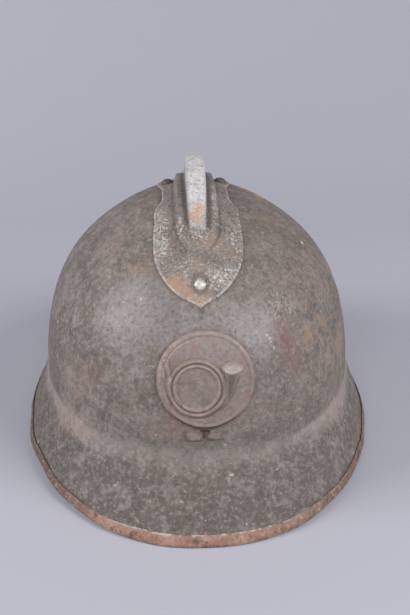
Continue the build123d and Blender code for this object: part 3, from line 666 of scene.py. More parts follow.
def waxed_thread():
    f = Finish("liner_thread", roughness=0.7)
    f.base(f.noise(3, 3), (150, 132, 98), (196, 180, 146))
    return f.done(f.noise(0.4, 2), 0.4, 0.08)


shell_finish = old_paint("shell_paint")
badge_finish = old_paint("badge_paint", marked_edges=True)
comb_finish = comb_paint()
binding_finish = binding_paint()
rivet_finish = comb_rivet_steel()
steel_finish = plain_metal("bare_steel", (132, 126, 118), (92, 86, 80), rust=0.45, metallic=0.7)
hoop_finish = plain_metal(
    "hoop_aluminium", (188, 190, 190), (150, 152, 152), rust=0.08, metallic=0.85, roughness=0.42)
buckle_finish = plain_metal(
    "buckle_steel", (176, 160, 122), (122, 106, 76), rust=0.3, metallic=0.8, roughness=0.4)
liner_leather = leather("liner_leather", (128, 86, 54), (92, 60, 38))
strap_leather = leather("strap_leather", (112, 70, 42), (78, 48, 30), grain=0.7)
cloth_finish = wool_cloth()
thread_finish = waxed_thread()


# The helmet's surface

def flare(drop, reach):
    """Outward run and slope of the brim at a drop below the equator."""
    aside = reach - brim_root_radius
    tangent = math.sqrt(aside**2 + equator_height**2 - brim_root_radius**2)
    lean = math.atan2(aside, equator_height) + math.atan2(brim_root_radius, tangent)
    arc_drop = brim_root_radius * math.sin(lean)
    arc_run = brim_root_radius * (1 - math.cos(lean))
    level = np.sqrt(np.clip(brim_root_radius**2 - np.minimum(drop, arc_drop)**2, 0.01, None))
    run = np.where(drop < arc_drop, brim_root_radius - level, arc_run + (drop - arc_drop) * math.tan(lean))
    slope = np.where(drop < arc_drop, np.minimum(drop, arc_drop) / level, math.tan(lean))
    return run, slope


def signed_power(value, power):
    return np.sign(value) * np.abs(value)**power


def skin_point(height, angle, depth):
    """Points of the shell's surface, set in by depth, at heights and angles round it."""
    height, angle, depth = np.broadcast_arrays(
        *[np.asarray(given, float) for given in (height, angle, depth)])
    above = height >= equator_height
    share = np.sqrt(
        np.clip(1 - (np.clip(height - equator_height, 0, None) / (crown_rise - depth))**2, 0, None))
    drop = np.clip(equator_height - height, 0, None)
    runs = []
    for reach in (brim_reach_side, brim_reach_front, brim_reach_rear):
        run, slope = flare(drop, reach)
        runs.append(run - depth * np.sqrt(1 + slope**2))
    side, front, rear = runs
    wide = np.where(above, (crown_half_width - depth) * share, crown_half_width + side)
    long = np.where(above, (crown_half_length - depth) * share, crown_half_length + (front + rear) / 2)
    middle = np.where(above, centre_line, centre_line + (rear - front) / 2)
    power = 2 / (2 + (rim_squareness - 2) * drop / equator_height)
    x = wide * signed_power(np.cos(angle), power)
    level = np.clip((height - equator_height) / crown_rise, 0, 1)
    swell = np.sin(math.pi * level**(math.log(1 / 2) / math.log(shoulder_peak_share)))**2
    x = x + np.sign(x) * shoulder_fullness * swell * smooth_step(np.abs(x), shoulder_start, shoulder_end)
    y = middle + long * signed_power(np.sin(angle), power)
    return np.stack([x, y, height], axis=-1)


def under_rim(along, lift):
    """Height of the rim's underside."""
    sagitta = side_arch + rim_flat
    radius = (rim_half_length**2 + sagitta**2) / (2 * sagitta)
    arch = np.sqrt(np.clip(radius**2 - along**2, 0, None)) - radius + side_arch
    return lift + np.clip(arch, 0, None)


def rim_height(angle, rise):
    """Height of a line that runs round the brim at a rise above its underside."""
    height = np.full(np.shape(angle), 3.0)
    for _ in range(6):
        along = skin_point(height, angle, 0)[..., 1]
        height = under_rim(along, rise)
    return height


def dent(height, angle):
    """How far the sheet stands out of its true shape: small on the crown, more on the brim."""
    base = skin_point(height, angle, 0)
    brim = smooth_step(equator_height - np.asarray(height, float), 16, 44)
    wave = ripple(base, 46, 11)
    return wave * (0.04 + 0.34 * brim)


def crown_level(across, along, offset):
    """Height of the crown, moved out by offset, over a plan place about its centre."""
    wide = across / (crown_half_width + offset)
    long = along / (crown_half_length + offset)
    return equator_height + (crown_rise + offset) * np.sqrt(np.clip(1 - wide**2 - long**2, 0, None))


def crown_place(across, along):
    """Point on the crown and its outward normal, from a plan place about the centre."""
    level = float(crown_level(across, along, 0))
    point = np.array([across, centre_line + along, level])
    normal = np.array([
        across / crown_half_width**2, along / crown_half_length**2,
        (level - equator_height) / crown_rise**2])
    normal /= np.linalg.norm(normal)
    return point, normal


def front_place(height):
    """Point on the front of the crown at a height, and its outward normal."""
    share = (height - equator_height) / crown_rise
    return crown_place(0.0, -crown_half_length * math.sqrt(1 - share**2))


# Shell

def make_shell():
    """Pressed skull and brim in one sheet, with its vent, rivet and prong holes."""
    angles = 1.5 * math.pi + np.concatenate([
        np.linspace(start, end, count, endpoint=False)
        for start, end, count in ((-math.pi, -0.3, 130), (-0.3, 0.3, 90), (0.3, math.pi, 130))])
    tilts = np.concatenate([
        np.linspace(88.6, 12, 58, endpoint=False), np.linspace(12, 1.5, 28, endpoint=False),
        [1.5, 0.7, 0.0]])
    shares = np.linspace(0, 1, 35)[1:]
    edge = rim_height(angles, binding_wall + binding_gap)
    skins = []
    for depth in (0.0, shell_wall):
        rise = crown_rise - depth
        rows = [
            np.full(angles.shape, equator_height + rise * math.sin(math.radians(tilt))) for tilt in tilts]
        rows += [equator_height + (edge - equator_height) * share for share in shares]
        skin = np.array([skin_point(height, angles, depth - dent(height, angles)) for height in rows])
        if not depth:
            emboss_pads(skin)
        skins += [[[0, centre_line, equator_height + rise]], skin.reshape(-1, 3)]
    points = np.vstack(skins)
    brim = np.concatenate([[0.0], np.repeat(np.concatenate([0 * tilts, shares]), len(angles))])
    inside = np.repeat([0.0, 1.0], len(brim))
    mesh = fill_mesh("shell_sheet", points, two_skins(len(rows), len(angles)), {
        "brim": np.tile(brim, 2), "inside": inside, "grime_and_shadow": edge_grime_and_shadow(points) * (1 - inside)})
    made = add_object("shell_sheet", mesh, shell_finish)
    holes = []
    for aside in (-vent_aside, vent_aside):
        for index in range(vents_per_side):
            along = centre_line + (index - (vents_per_side - 1) / 2) * vent_pitch
            holes.append(((aside, along, 130), (0, 0, 1), 60, circle(vent_radius)))
    through = [
        (*crown_place(across + comb_skew(along), along), circle(1.7, 16)) for across, along in comb_rivets]
    for offset in (-badge_prong_offset, badge_prong_offset):
        through.append((*front_place(badge_centre_height + offset), box_outline(6.6, 1.1)))
    holes += [(point - normal * 5, normal, 10, outline) for point, normal, outline in through]
    holes.append(((-0.9, -110, 60.4), (0, -1, 0), 20, box_outline(5.5, 1.6)))
    cut_holes(made, prisms(holes))
    return made


def edge_grime_and_shadow(points):
    """Grime along the outlines of the comb, the badge and the pads, with painted shadow in the seams there.
    """
    x, y, z = points[:, 0], points[:, 1], points[:, 2]
    along = np.abs(y - centre_line)
    beside = np.abs(x - comb_skew(y - centre_line)) - comb_width(along)
    round_comb = smooth_step(3.6 - np.abs(beside), 0, 3.6) * (along < 89)
    origin, normal = front_place(badge_centre_height)
    up = np.cross(normal, (1.0, 0, 0))
    place = points - origin
    away = np.hypot(place[:, 0], place @ up) - badge_radius
    round_badge = smooth_step(2.4 - np.abs(away), 0, 2.4) * (y < -60)
    round_pads = np.zeros(len(points))
    for across, height in front_pads:
        away = np.maximum(np.abs(x - across) - 4.2, np.abs(z - height) - 3.0)
        round_pads = np.maximum(round_pads, smooth_step(1.3 - np.abs(away), 0, 1.2) * (y < -60))
    grime_and_shadow = np.maximum.reduce([0.8 * round_comb, 0.7 * round_badge, 0.7 * round_pads])
    return np.where(z > equator_height, grime_and_shadow, 0)


def emboss_pads(outer):
    """Two small pads stand out of the sheet under the badge."""
    near = outer[..., 1] < -60
    for across, height in front_pads:
        wide = smooth_step(4.6 - np.abs(outer[..., 0] - across), 0, 1.1)
        tall = smooth_step(3.7 - np.abs(outer[..., 2] - height), 0, 1.1)
        outer[..., 1] -= 1.2 * wide * tall * near


# Rim binding

def make_binding():
    """Strip folded over the rim: rounded outside, its ends butted at the back."""
    half_gap = 0.25 / 147
    angles = np.linspace(math.pi / 2 + half_gap, 2.5 * math.pi - half_gap, 620)
    along_rim = skin_point(rim_height(angles, 3), angles, 0)
    swell = 0.1 * ripple(along_rim, 17, 5)
    waver = 0.22 * ripple(along_rim, 13, 8)
    front_side = smooth_step(np.abs(np.cos(angles)), 0.15, 0.7) * smooth_step(-np.sin(angles), -0.3, 0.1)
    narrow = 1 - 0.24 * front_side
    # Round the section: height, depth, 1 where it follows the wavy upper edge, and wear
    profile = (
        (6.5, -0.25, 1, 1), (6.55, -0.5, 1, 1), (6.3, -0.72, 1, 0.8), (5.7, -0.82, 0, 0.25),
        (4.6, -0.95, 0, 0), (3.3, -1.02, 0, 0), (2.1, -0.92, 0, 0), (1.1, -0.7, 0, 0), (0.4, -0.3, 0, 0),
        (0.05, 0.15, 0, 0), (0, 0.6, 0, 0), (0.15, 1.1, 0, 0), (0.7, 1.55, 0, 0), (1.8, 1.7, 0, 0),
        (4, 1.72, 0, 0), (6, 1.65, 1, 0), (6.4, 1.45, 1, 0.3), (6.45, 1.15, 1, 0.3), (6.3, 1, 1, 0),
        (3, 1, 0, 0), (1, 0.98, 0, 0), (0.7, 0.45, 0, 0), (1, -0.08, 0, 0), (3, -0.1, 0, 0),
        (6.2, -0.1, 1, 0),
    )
    low, reference = rim_height(angles, 0), rim_height(angles, binding_wall + binding_gap)
    lines = []
    for rise, depth, top, _ in profile:
        line = low + (rise * narrow + waver if top else rise)
        bulge = swell if depth < -0.4 else 0
        lines.append(skin_point(line, angles, depth - bulge - dent(np.maximum(line, reference), angles)))
    grid = np.array(lines).transpose(1, 0, 2)
    rows, columns = grid.shape[:2]
    lip = np.tile([worn for *_, worn in profile], rows)
    faces = grid_faces(rows, columns, True) + end_faces(rows, columns)
    mesh = fill_mesh("rim_strip", grid, faces, {"lip": lip}, sharp=60)
    return add_object("rim_strip", mesh, binding_finish)


# Comb

def comb_skew(along):
    """The comb sits a little askew: how far its middle line lies to the right."""
    return 0.0115 * along - 0.6


comb_tip = smooth_curve(
    [(0, comb_half_length), (12.3, 81.2), (20.3, 72.5), (25.2, 61.1), (26.2, 47.1), (25.5, 33.2)], 16)
comb_waist = [(25.5, 22.0), (24.9, 19.8), (21.4, 12.2), (20.7, 10.4), (20.6, 8), (20.6, 0)]
comb_edge = np.vstack([comb_tip, comb_waist])
rib_edge = smooth_curve([(0, rib_half_length), (4.7, 60.8), (11.2, 49.4), (12.6, 32.5), (13.0, 0.0)], 16)


def comb_width(along):
    """Half the flange's width, whose rear part is drawn a little narrower."""
    drawn = 1 - 0.08 * smooth_step(along, 8, 22)
    return drawn * np.interp(np.abs(along), comb_edge[::-1, 1], comb_edge[::-1, 0])


def ridge_width(along):
    """Half the ridge's width: widest in the middle, drawn in towards both ends."""
    draw = ridge_half_width - ridge_end_half_width
    radius = (ridge_half_length**2 + draw**2) / (2 * draw)
    return ridge_half_width - radius + np.sqrt(radius**2 - np.minimum(np.abs(along), ridge_half_length)**2)


def rib_width(along):
    along = np.abs(along)
    inside = np.interp(along, rib_edge[::-1, 1], rib_edge[::-1, 0])
    return np.where(along > rib_half_length, (rib_half_length - along) * 0.9, inside)


def comb_level(across, along, inset):
    """Height of the pressed comb: flange, rib and ridge run into each other with soft bends."""
    base = crown_level(across + comb_skew(along), along, comb_gap + comb_wall - inset)
    grow = comb_gap - inset
    end_level = crown_rise * math.sqrt(1 - (rib_half_length / crown_half_length)**2)
    rib_length = rib_half_length / math.sqrt(1 - (end_level / (crown_rise + rib_rise))**2)
    wide = across / (crown_half_width + rib_rise + grow)
    long = along / (rib_length + grow)
    rib = equator_height + (crown_rise + rib_rise + grow) * np.sqrt(np.clip(1 - wide**2 - long**2, 0, None))
    step = rib_width(along + 0.4) - rib_width(along - 0.4)
    room = (rib_width(along) - inset - np.abs(across)) / np.sqrt(1 + (step / 0.8)**2)
    wall = soft_max(np.zeros_like(room), (1.3 - room) * 3.2, 1.6)
    level = soft_max(base, rib - wall, 2.0)
    end = crown_level(0.0, ridge_half_length, 0)
    sagitta = ridge_top_height - end
    radius = (ridge_half_length**2 + sagitta**2) / (2 * sagitta)
    arc = ridge_top_height - inset - radius + np.sqrt(np.clip(radius**2 - along**2, 0, None))
    ridge_half = ridge_width(along)
    beyond = np.clip(np.abs(across) - (ridge_half - ridge_round), 0, None)
    rounding = ridge_round - np.sqrt(
        np.clip(ridge_round**2 - np.minimum(beyond, ridge_round * 0.97)**2, 0, None))
    steep = np.clip(np.abs(across) - (ridge_half - 0.08 * ridge_round - inset), 0, None) * 16
    blade = arc - rounding - steep - 0.35 * (across / ridge_half)**2
    level = soft_max(level, blade, 1.6)
    if not inset:
        for rivet in (-tip_rivet_along, tip_rivet_along):
            ring = np.hypot(across, (along - rivet) * 1.25)
            level = level - 0.42 * np.exp(-(ring / 4.6)**4)
    return level


def make_comb():
    """Comb pressed from one sheet: flange, rib and ridge, open underneath."""
    inner_columns = np.concatenate([
        np.linspace(0, 4.2, 12, endpoint=False), np.linspace(4.2, 7.4, 17, endpoint=False), [7.4]])
    outer_shares = np.linspace(0, 1, 30)[1:]
    tip = comb_tip_length * np.linspace(0, 1, 26)[1:]**1.4
    middle = np.linspace(-tip_rivet_along, tip_rivet_along, 226)[1:-1]
    rows = np.concatenate([
        [-comb_half_length], tip - comb_half_length, middle, comb_half_length - tip[::-1],
        [comb_half_length]])
    skins = ([], [])
    marks = {"edge": [], "top": [], "side": [], "crest": [], "brink": []}
    for along in rows:
        width, ridge_half, run = float(comb_width(along)), float(ridge_width(along)), abs(along)
        half = inner_columns * min(1.0, width / 11.0) * ridge_half / 5.8
        half = np.concatenate([half, half[-1] + (width - half[-1]) * outer_shares])
        across = np.concatenate([-half[::-1], half[1:]])
        lane = np.full(across.shape, float(along))
        beside = np.abs(across)
        top = comb_level(across, lane, 0.0)
        bottom = np.minimum(comb_level(across, lane, comb_wall), top - 0.35)
        bottom[0], bottom[-1] = top[0] - 0.85, top[-1] - 0.85
        top = top - 0.3 * (np.clip(0.55 - (width - beside), 0, None) / 0.55)**2
        for skin, level in zip(skins, (top, bottom)):
            skin.append(np.stack([across + comb_skew(lane), lane + centre_line, level], axis=-1))
        room = np.minimum(width - beside, comb_half_length - run)
        marks["edge"].append(smooth_step(3.4 - room, 0, 3.0))
        marks["brink"].append(smooth_step(1.5 - room, 0, 1.3))
        flat = smooth_step(ridge_half + 0.7 - beside, 0, 1.5) * smooth_step(54 - run, 0, 6)
        marks["crest"].append(flat * smooth_step(51 - run, 0, 7))
        rib_half = rib_width(lane)
        rib_brink = np.exp(-((rib_half - 1.8 - beside) / 1.2)**2) * smooth_step(64 - run, 0, 6)
        marks["top"].append(np.maximum(flat, 0.75 * rib_brink * (beside > 7)))
        # Painted shade: the gully beside the ridge, the foot of the rib and the rivet dimples
        gully = np.exp(-((beside - ridge_half - 1.5) / 1.5)**2) * smooth_step(50 - run, 0, 8)
        dimple = np.hypot(across, run - tip_rivet_along)
        dimple = smooth_step(dimple, 2.4, 3.6) * smooth_step(6.0 - dimple, 0, 1.2)
        foot = np.exp(-((rib_half + 0.9 - beside) / 1.0)**2) * smooth_step(62 - run, 0, 6)
        marks["side"].append(np.clip(gully + 0.8 * foot + 0.8 * dimple, 0, 1))
    points = np.array(skins)
    count, columns = points.shape[1:3]
    size = count * columns
    numbers = np.arange(size).reshape(count, columns)
    border = [*numbers[0], *numbers[1:, -1], *numbers[-1, -2::-1], *numbers[-2:0:-1, 0]]
    border = [int(number) for number in border]
    faces = grid_faces(count, columns) + grid_faces(count, columns, start=size)
    faces += strip(border, [size + number for number in border])
    both = {key: np.tile(np.array(values).ravel(), 2) for key, values in marks.items()}
    mesh = fill_mesh("comb_pressing", points, faces, both, sharp=50, merge=1e-6, dissolve=1e-7)
    return add_object("comb_pressing", mesh, comb_finish)


# Turned pieces: rivets

def turned(place, normal, profile, count=28):
    """Points and faces of a turned form: (radius, height) pairs along the normal."""
    across = np.cross((0, 1, 0) if abs(normal[1]) < 0.9 else (1, 0, 0), normal)
    across /= np.linalg.norm(across)
    up = np.cross(normal, across)
    points = [place + normal * profile[0][1]]
    for radius, height in profile[1:-1]:
        points += [place + normal * height + across * a + up * b for a, b in circle(radius, count)]
    points.append(place + normal * profile[-1][1])
    last = len(points) - 1
    faces = grid_faces(len(profile) - 2, count, True, 1)
    return points, faces + fan(0, range(1, 1 + count)) + fan(last, range(last - count, last))


def make_comb_rivets():
    """Domed heads outside, their shanks and the closing heads inside."""
    points, faces = [], []
    for across, along in comb_rivets:
        place, normal = crown_place(across + comb_skew(along), along)
        seat, rise, radius = (comb_gap + comb_wall, 2.7, 3.9) if across else (0.66, 2.2, 3.45)
        head = [(0, seat + rise)]
        for step in range(1, 9):
            tilt = math.radians(90 - step * 10.8)
            head.append((radius * math.cos(tilt), seat + rise * math.sin(tilt)))
        head += [(3.3, seat + 0.02), (1.6, seat + 0.02)]
        head += [(1.6, -1.0), (2.2, -1.1), (2.75, -1.5), (2.4, -2.0), (0, -2.1)]
        made, sides = turned(place, normal, head)
        faces += [tuple(len(points) + corner for corner in side) for side in sides]
        points += made
    return add_object("comb_rivet_set", fill_mesh("comb_rivet_set", points, faces), rivet_finish)


# Badge

def along_line(u, v, stations):
    """Distance to a run of stations (place and radius) and the local radius there."""
    best = np.full(u.shape, 1e9)
    size = np.ones(u.shape)
    for (ax, ay, ar), (bx, by, br) in zip(stations, stations[1:]):
        dx, dy = bx - ax, by - ay
        share = np.clip(((u - ax) * dx + (v - ay) * dy) / (dx * dx + dy * dy), 0, 1)
        away = np.hypot(u - ax - dx * share, v - ay - dy * share)
        radius = ar + (br - ar) * share
        closer = away - radius < best - size
        best = np.where(closer, away, best)
        size = np.where(closer, radius, size)
    return best, size


def round_ridge(away, half, rise):
    return rise * np.clip(1 - (away / half)**2, 0, None)**0.75


def fade(away, width, peak=1.0):
    """1 along a line, falling off to 0 beside it."""
    return np.clip(peak - away / width, 0, 1)


def badge_relief(u, v):
    """Height of the badge's relief, with marks for its raised lines, grooves and bell mouth; the first two
    carry painted highlight and shadow.
    """
    r = np.hypot(u, v)
    left = smooth_step(-u, -6, 14)
    rim_away = np.abs(r - 26.2)
    rise = round_ridge(rim_away, 1.35, 0.42)
    second_away = np.abs(np.hypot(u + 1.2, v) - 22.9)
    rise = np.maximum(rise, round_ridge(second_away, 0.9, 0.32) * left)
    cu, cv = u + 5.2, v + 4.4
    c = np.hypot(cu, cv)
    coil = smooth_step(16.4 - c, 0, 0.8) * smooth_step(c - 11.4, 0, 0.8) * 0.5
    outer_away = np.abs(c - 15.2)
    inner_away = np.abs(c - 12.5)
    coil = coil + np.maximum(round_ridge(outer_away, 1.05, 0.7), round_ridge(inner_away, 0.95, 0.6))
    horn_line = smooth_curve([(14.2, 3.2), (13.4, -3.0), (11.4, -9.2), (7.4, -14.2), (0.6, -17.8)], 8)
    horn_sizes = np.interp(
        np.linspace(0, 1, len(horn_line)), (0, 0.25, 0.5, 0.75, 1), (4.2, 2.9, 2.1, 1.7, 1.4))
    away, size = along_line(u, v, [(*p, s) for p, s in zip(horn_line, horn_sizes)])
    horn = round_ridge(away, size, 1.3)
    pipe_line = smooth_curve([
        (-15.2, -14.2), (-18.9, -9.1), (-21.4, -3.0), (-20.2, 2.0), (-21.2, 6.4), (-22.0, 11.0)], 8)
    pipe_sizes = np.interp(np.linspace(0, 1, len(pipe_line)), (0, 0.5, 0.9, 1), (1.2, 1.1, 1.2, 1.5))
    pipe_away, pipe_size = along_line(u, v, [(*p, s) for p, s in zip(pipe_line, pipe_sizes)])
    pipe = round_ridge(pipe_away, pipe_size, 0.85)
    b = np.hypot((u - 14.9) / 6.0, (v - 6.3) / 3.4)
    lip = 1.5 * np.clip(1 - (np.abs(b - 0.87) / 0.2)**2, 0, None)**0.6
    bowl = smooth_step(0.86 - b, 0, 0.14)
    bell = np.maximum(lip, bowl * (0.7 + 0.35 * b**2))
    relief = np.maximum.reduce([rise, coil, horn * (1 - bowl), pipe])
    relief = np.maximum(relief * (1 - bowl), bell) - 0.14 * smooth_step(11.6 - c, 0, 0.9)
    notch = np.abs(v + 24.2 - 0.9 * np.abs(u + 0.5))
    vee = fade(notch, 0.9) * (np.abs(u + 0.5) < 3.2)
    relief = relief + 0.35 * vee
    # Raised lines; the rim's mark is strongest at its upper left, a painted highlight
    raised_and_lit = np.maximum.reduce([
        fade(rim_away, 1.5, 1.25) * (0.22 + 0.78 * smooth_step(v - 0.3 * u, -4, 18)),
        fade(outer_away, 1.2, 1.1) * 0.75,
        fade(inner_away, 1.0, 1.1) * 0.9,
        np.clip(lip / 1.4, 0, 1),
        np.clip(pipe / 0.85, 0, 1) * 0.7,
        fade(second_away, 1.1, 1.1) * left * 0.8,
        vee * 0.5,
    ])
    # Dark lines: grooves and outlines, with painted shadow below the coil, inside the rim at the top and
    # under the disc's lower edge
    groove_and_shadow = np.maximum.reduce([
        fade(np.abs(c - 13.85), 0.6, 1.15),
        fade(np.abs(c - 16.9), 0.9) * (0.35 + 0.65 * smooth_step(-cv, 2, 10)),
        fade(np.abs(away - size - 0.5), 0.8) * (u > 5) * (v < 2) * 0.8,
        np.clip(horn / 1.3, 0, 1) * smooth_step(u, 9.5, 13.5) * 0.85 * (1 - bowl),
        fade(np.abs(pipe_away - pipe_size - 0.5), 0.6) * 0.6,
        fade(np.abs(r - 24.6), 0.5) * 0.45 * smooth_step(v, -6, 16),
        np.clip((r - 26.2) / 0.5, 0, 1) * smooth_step(-v, 14, 24) * 1.2,
    ])
    hidden = (1 - np.clip(lip, 0, 1)) * (1 - bowl)
    return relief, raised_and_lit, groove_and_shadow * hidden, bowl


def badge_points(u, v, lift):
    """Places over the crown at that lift, straight out of the badge's plane."""
    origin, normal = front_place(badge_centre_height)
    across = np.array([1.0, 0, 0])
    up = np.cross(normal, across)
    start = origin + u[..., None] * across + v[..., None] * up
    sizes = np.stack([crown_half_width + lift, crown_half_length + lift, crown_rise + lift], axis=-1)
    q = (start - np.array([0, centre_line, equator_height])) / sizes
    e = normal / sizes
    a = (e * e).sum(-1)
    b = 2 * (q * e).sum(-1)
    c = (q * q).sum(-1) - 1
    travel = (-b + np.sqrt(np.clip(b * b - 4 * a * c, 0, None))) / (2 * a)
    return start + travel[..., None] * normal


def make_badge():
    """Pressed disc that follows the crown, with its relief."""
    radii = np.concatenate(
        [np.linspace(0.35, badge_radius - 0.7, 96), badge_radius - np.array([0.3, 0.05, 0])])
    turns = np.linspace(0, 2 * math.pi, 420, endpoint=False)
    r, t = np.meshgrid(radii, turns, indexing="ij")
    u, v = r * np.cos(t), r * np.sin(t)
    relief, raised_and_lit, groove_and_shadow, mouth = badge_relief(u, v)
    rounding = np.clip(r - badge_radius + 0.7, 0, None)**2 * 0.55
    stand = 0.8 * smooth_step(-v, 16, 28) * smooth_step(15 - np.abs(u + 1), 0, 13)
    top = badge_points(u, v, badge_gap + badge_wall + relief - rounding + stand)
    under = badge_points(u, v, np.full(u.shape, badge_gap + 0.02) + stand)
    zero = np.zeros(1)
    middle = badge_points(zero, zero, badge_gap + badge_wall + badge_relief(zero, zero)[0])
    under_middle = badge_points(zero, zero, np.array([badge_gap]))
    points = np.vstack([middle, top.reshape(-1, 3), under_middle, under.reshape(-1, 3)])
    faces = two_skins(*r.shape)
    blank = np.zeros(1 + r.size)
    marks = {"brim": np.tile(blank, 2), "inside": np.tile(blank, 2)}
    for key, values in (("raised_and_lit", raised_and_lit), ("groove_and_shadow", groove_and_shadow), ("mouth", mouth)):
        marks[key] = np.concatenate([[0.0], values.ravel(), blank])
    mesh = fill_mesh("badge_disc", points, faces, marks, sharp=60)
    return add_object("badge_disc", mesh, badge_finish)


# Liner: cloth band, headband, tongues

def level_ring(depth, height, angles):
    share = math.sqrt(1 - ((height - equator_height) / (crown_rise - depth))**2)
    x = (crown_half_width - depth) * share * np.cos(angles)
    y = centre_line + (crown_half_length - depth) * share * np.sin(angles)
    return np.stack([x, y, np.full(angles.shape, float(height))], axis=-1)


def band(name, material, profile, waver, marks=None, count=360, sharp=60):
    """Closed ring whose section is given as (height, depth) pairs; waver moves its depth."""
    angles = np.linspace(0, 2 * math.pi, count, endpoint=False)
    rows = []
    for height, depth in profile:
        base = level_ring(depth, height, angles)
        outward = level_ring(depth - 1, height, angles) - base
        rows.append(base + outward * waver(base)[..., None])
    values = {key: np.repeat(line, count) for key, line in (marks or {}).items()}
    mesh = fill_mesh(name, rows, grid_faces(len(rows), count, True, joined=True), values, sharp)
    return add_object(name, mesh, material)


def make_cloth_band():
    """Wool band stretched round the hoop, its edges rounded."""
    top = liner_bottom + cloth_height
    deep = cloth_depth + cloth_wall
    profile = [(liner_bottom + 0.5, cloth_depth + 0.1)]
    profile += [(height, cloth_depth) for height in np.linspace(liner_bottom + 1.2, top - 1.0, 14)]
    profile += [(top - 0.3, cloth_depth + 0.15), (top, cloth_depth + 0.7), (top - 0.3, deep - 0.15)]
    profile += [(height, deep) for height in np.linspace(top - 1.0, liner_bottom + 1.2, 14)]
    profile += [(liner_bottom + 0.5, deep - 0.15), (liner_bottom + 0.05, cloth_depth + 0.7)]
    made = band("cloth_lining", cloth_finish, profile, lambda base: 0.05 * ripple(base, 22, 31))
    return made


def make_headband():
    """Leather band with rounded edges and a shallow crease over its lower seam."""
    low, top = liner_bottom, liner_bottom + headband_height
    outer, inner = headband_depth, headband_depth + leather_wall
    rows = [(height, outer, 0.0) for height in np.linspace(low + 0.9, top - 0.6, 16)]
    rows += [(top - 0.15, outer + 0.25, 0.8), (top, outer + 0.75, 0.8), (top - 0.15, inner - 0.25, 0.8)]
    rows += [(height, inner, 0.15 if height > low + 8 else 0.4)
             for height in np.linspace(top - 0.6, low + 4.0, 16)]
    rows += [(low + rise, depth, 0.9) for rise, depth in (
        (3.3, inner - 0.28), (2.7, inner - 0.28), (2.1, inner + 0.05), (1.0, inner), (0.25, inner - 0.2),
        (0.0, outer + 0.75), (0.25, outer + 0.2))]
    return band("headband_leather", liner_leather, [row[:2] for row in rows],
                lambda base: 0.05 * ripple(base, 26, 41), {"worn": [row[2] for row in rows]})


def tongue_dome():
    """Half sizes of the dome on which the tongues lie."""
    seat_level = liner_bottom + headband_height - 3
    depth = headband_depth + leather_wall + 0.6
    seat = (crown_half_width - depth) * math.sqrt(
        1 - ((seat_level - equator_height) / (crown_rise - depth))**2)
    rise = crown_rise - tongue_rise_gap
    share = math.sqrt(1 - ((seat_level - equator_height) / rise)**2)
    gain = seat / share - crown_half_width
    return crown_half_width + gain, crown_half_length + gain, rise


def make_tongues():
    """One cut of leather: a low ring and seven tongues, each with a punched lace hole."""
    half_width, half_length, rise = tongue_dome()
    low = liner_bottom + headband_height - 6
    low_share = math.sqrt(1 - ((low - equator_height) / rise)**2)
    across_count, along_count = 29, 44
    full = math.pi / tongue_count
    points, faces, worn, holes = [], [], [], []
    for index in range(tongue_count):
        middle = 2 * math.pi * index / tongue_count - math.pi / 2
        faces += grid_faces(along_count, across_count, start=len(points))
        for step in range(along_count):
            share = step / (along_count - 1)
            reach = low_share * (1 - share) + tongue_end_reach * share
            local = max(0.0, (share - tongue_root_share) / (1 - tongue_root_share))
            half = full
            if share >= tongue_root_share:
                # Above the straight run of ring the tongue narrows and ends rounded
                slit = (2.0 + 5.2 * local) * (0.35 + 0.65 * smooth_step(share, 0.2, 0.26))
                past = max(0.0, local - tongue_tip_share) / (1 - tongue_tip_share)
                tip = max(math.sqrt(max(0.0, 1 - past**2)), 0.03)
                keep = max(reach * half_width * math.tan(full) - slit, 0.4)
                half = math.atan2(keep * tip, reach * half_width)
            for column in range(across_count):
                side = 2 * column / (across_count - 1) - 1
                plan = reach / max(math.cos(side * half), 0.5) if local > 0.5 else reach
                angle = middle + side * half
                curl = 0.9 * math.sin(3 * local + index * 1.7) * local
                curl -= 2.2 * local**3 * (0.4 + 0.6 * abs(side)) + 1.6 * local * (1 - local) * side**2
                points.append((
                    half_width * plan * math.cos(angle), centre_line + half_length * plan * math.sin(angle),
                    equator_height + rise * math.sqrt(max(0.0, 1 - plan**2)) + curl))
                worn.append(1.0 if abs(side) > 0.92 or share > 0.975 else 0.12)
        hole = lace_hole_reach / half_width
        x, y = half_width * hole * math.cos(middle), centre_line + half_length * hole * math.sin(middle)
        z = equator_height + rise * math.sqrt(1 - hole**2)
        holes.append(((x, y, z - 12), (0, 0, 1), 24, circle(lace_hole_radius, 18)))
    mesh = fill_mesh("tongue_leather", points, faces, {"worn": worn}, merge=2e-5)
    if sum(face.normal.z * face.area for face in mesh.polygons) < 0:
        mesh.flip_normals()
    made = add_object("tongue_leather", mesh, liner_leather)
    thick = made.modifiers.new("leather", "SOLIDIFY")
    thick.thickness = leather_wall * MM
    thick.offset = -1
    thick.use_even_offset = False
    settle(made)
    cut_holes(made, prisms(holes))
    round_edges(made, 0.35)
    return made


def round_edges(made, width, angle=55):
    bevel = made.modifiers.new("rounding", "BEVEL")
    bevel.width = width * MM
    bevel.segments = 2
    bevel.limit_method = "ANGLE"
    bevel.angle_limit = math.radians(angle)
    bevel.use_clamp_overlap = True
    settle(made)


# Stitches, laid along a line by geometry nodes

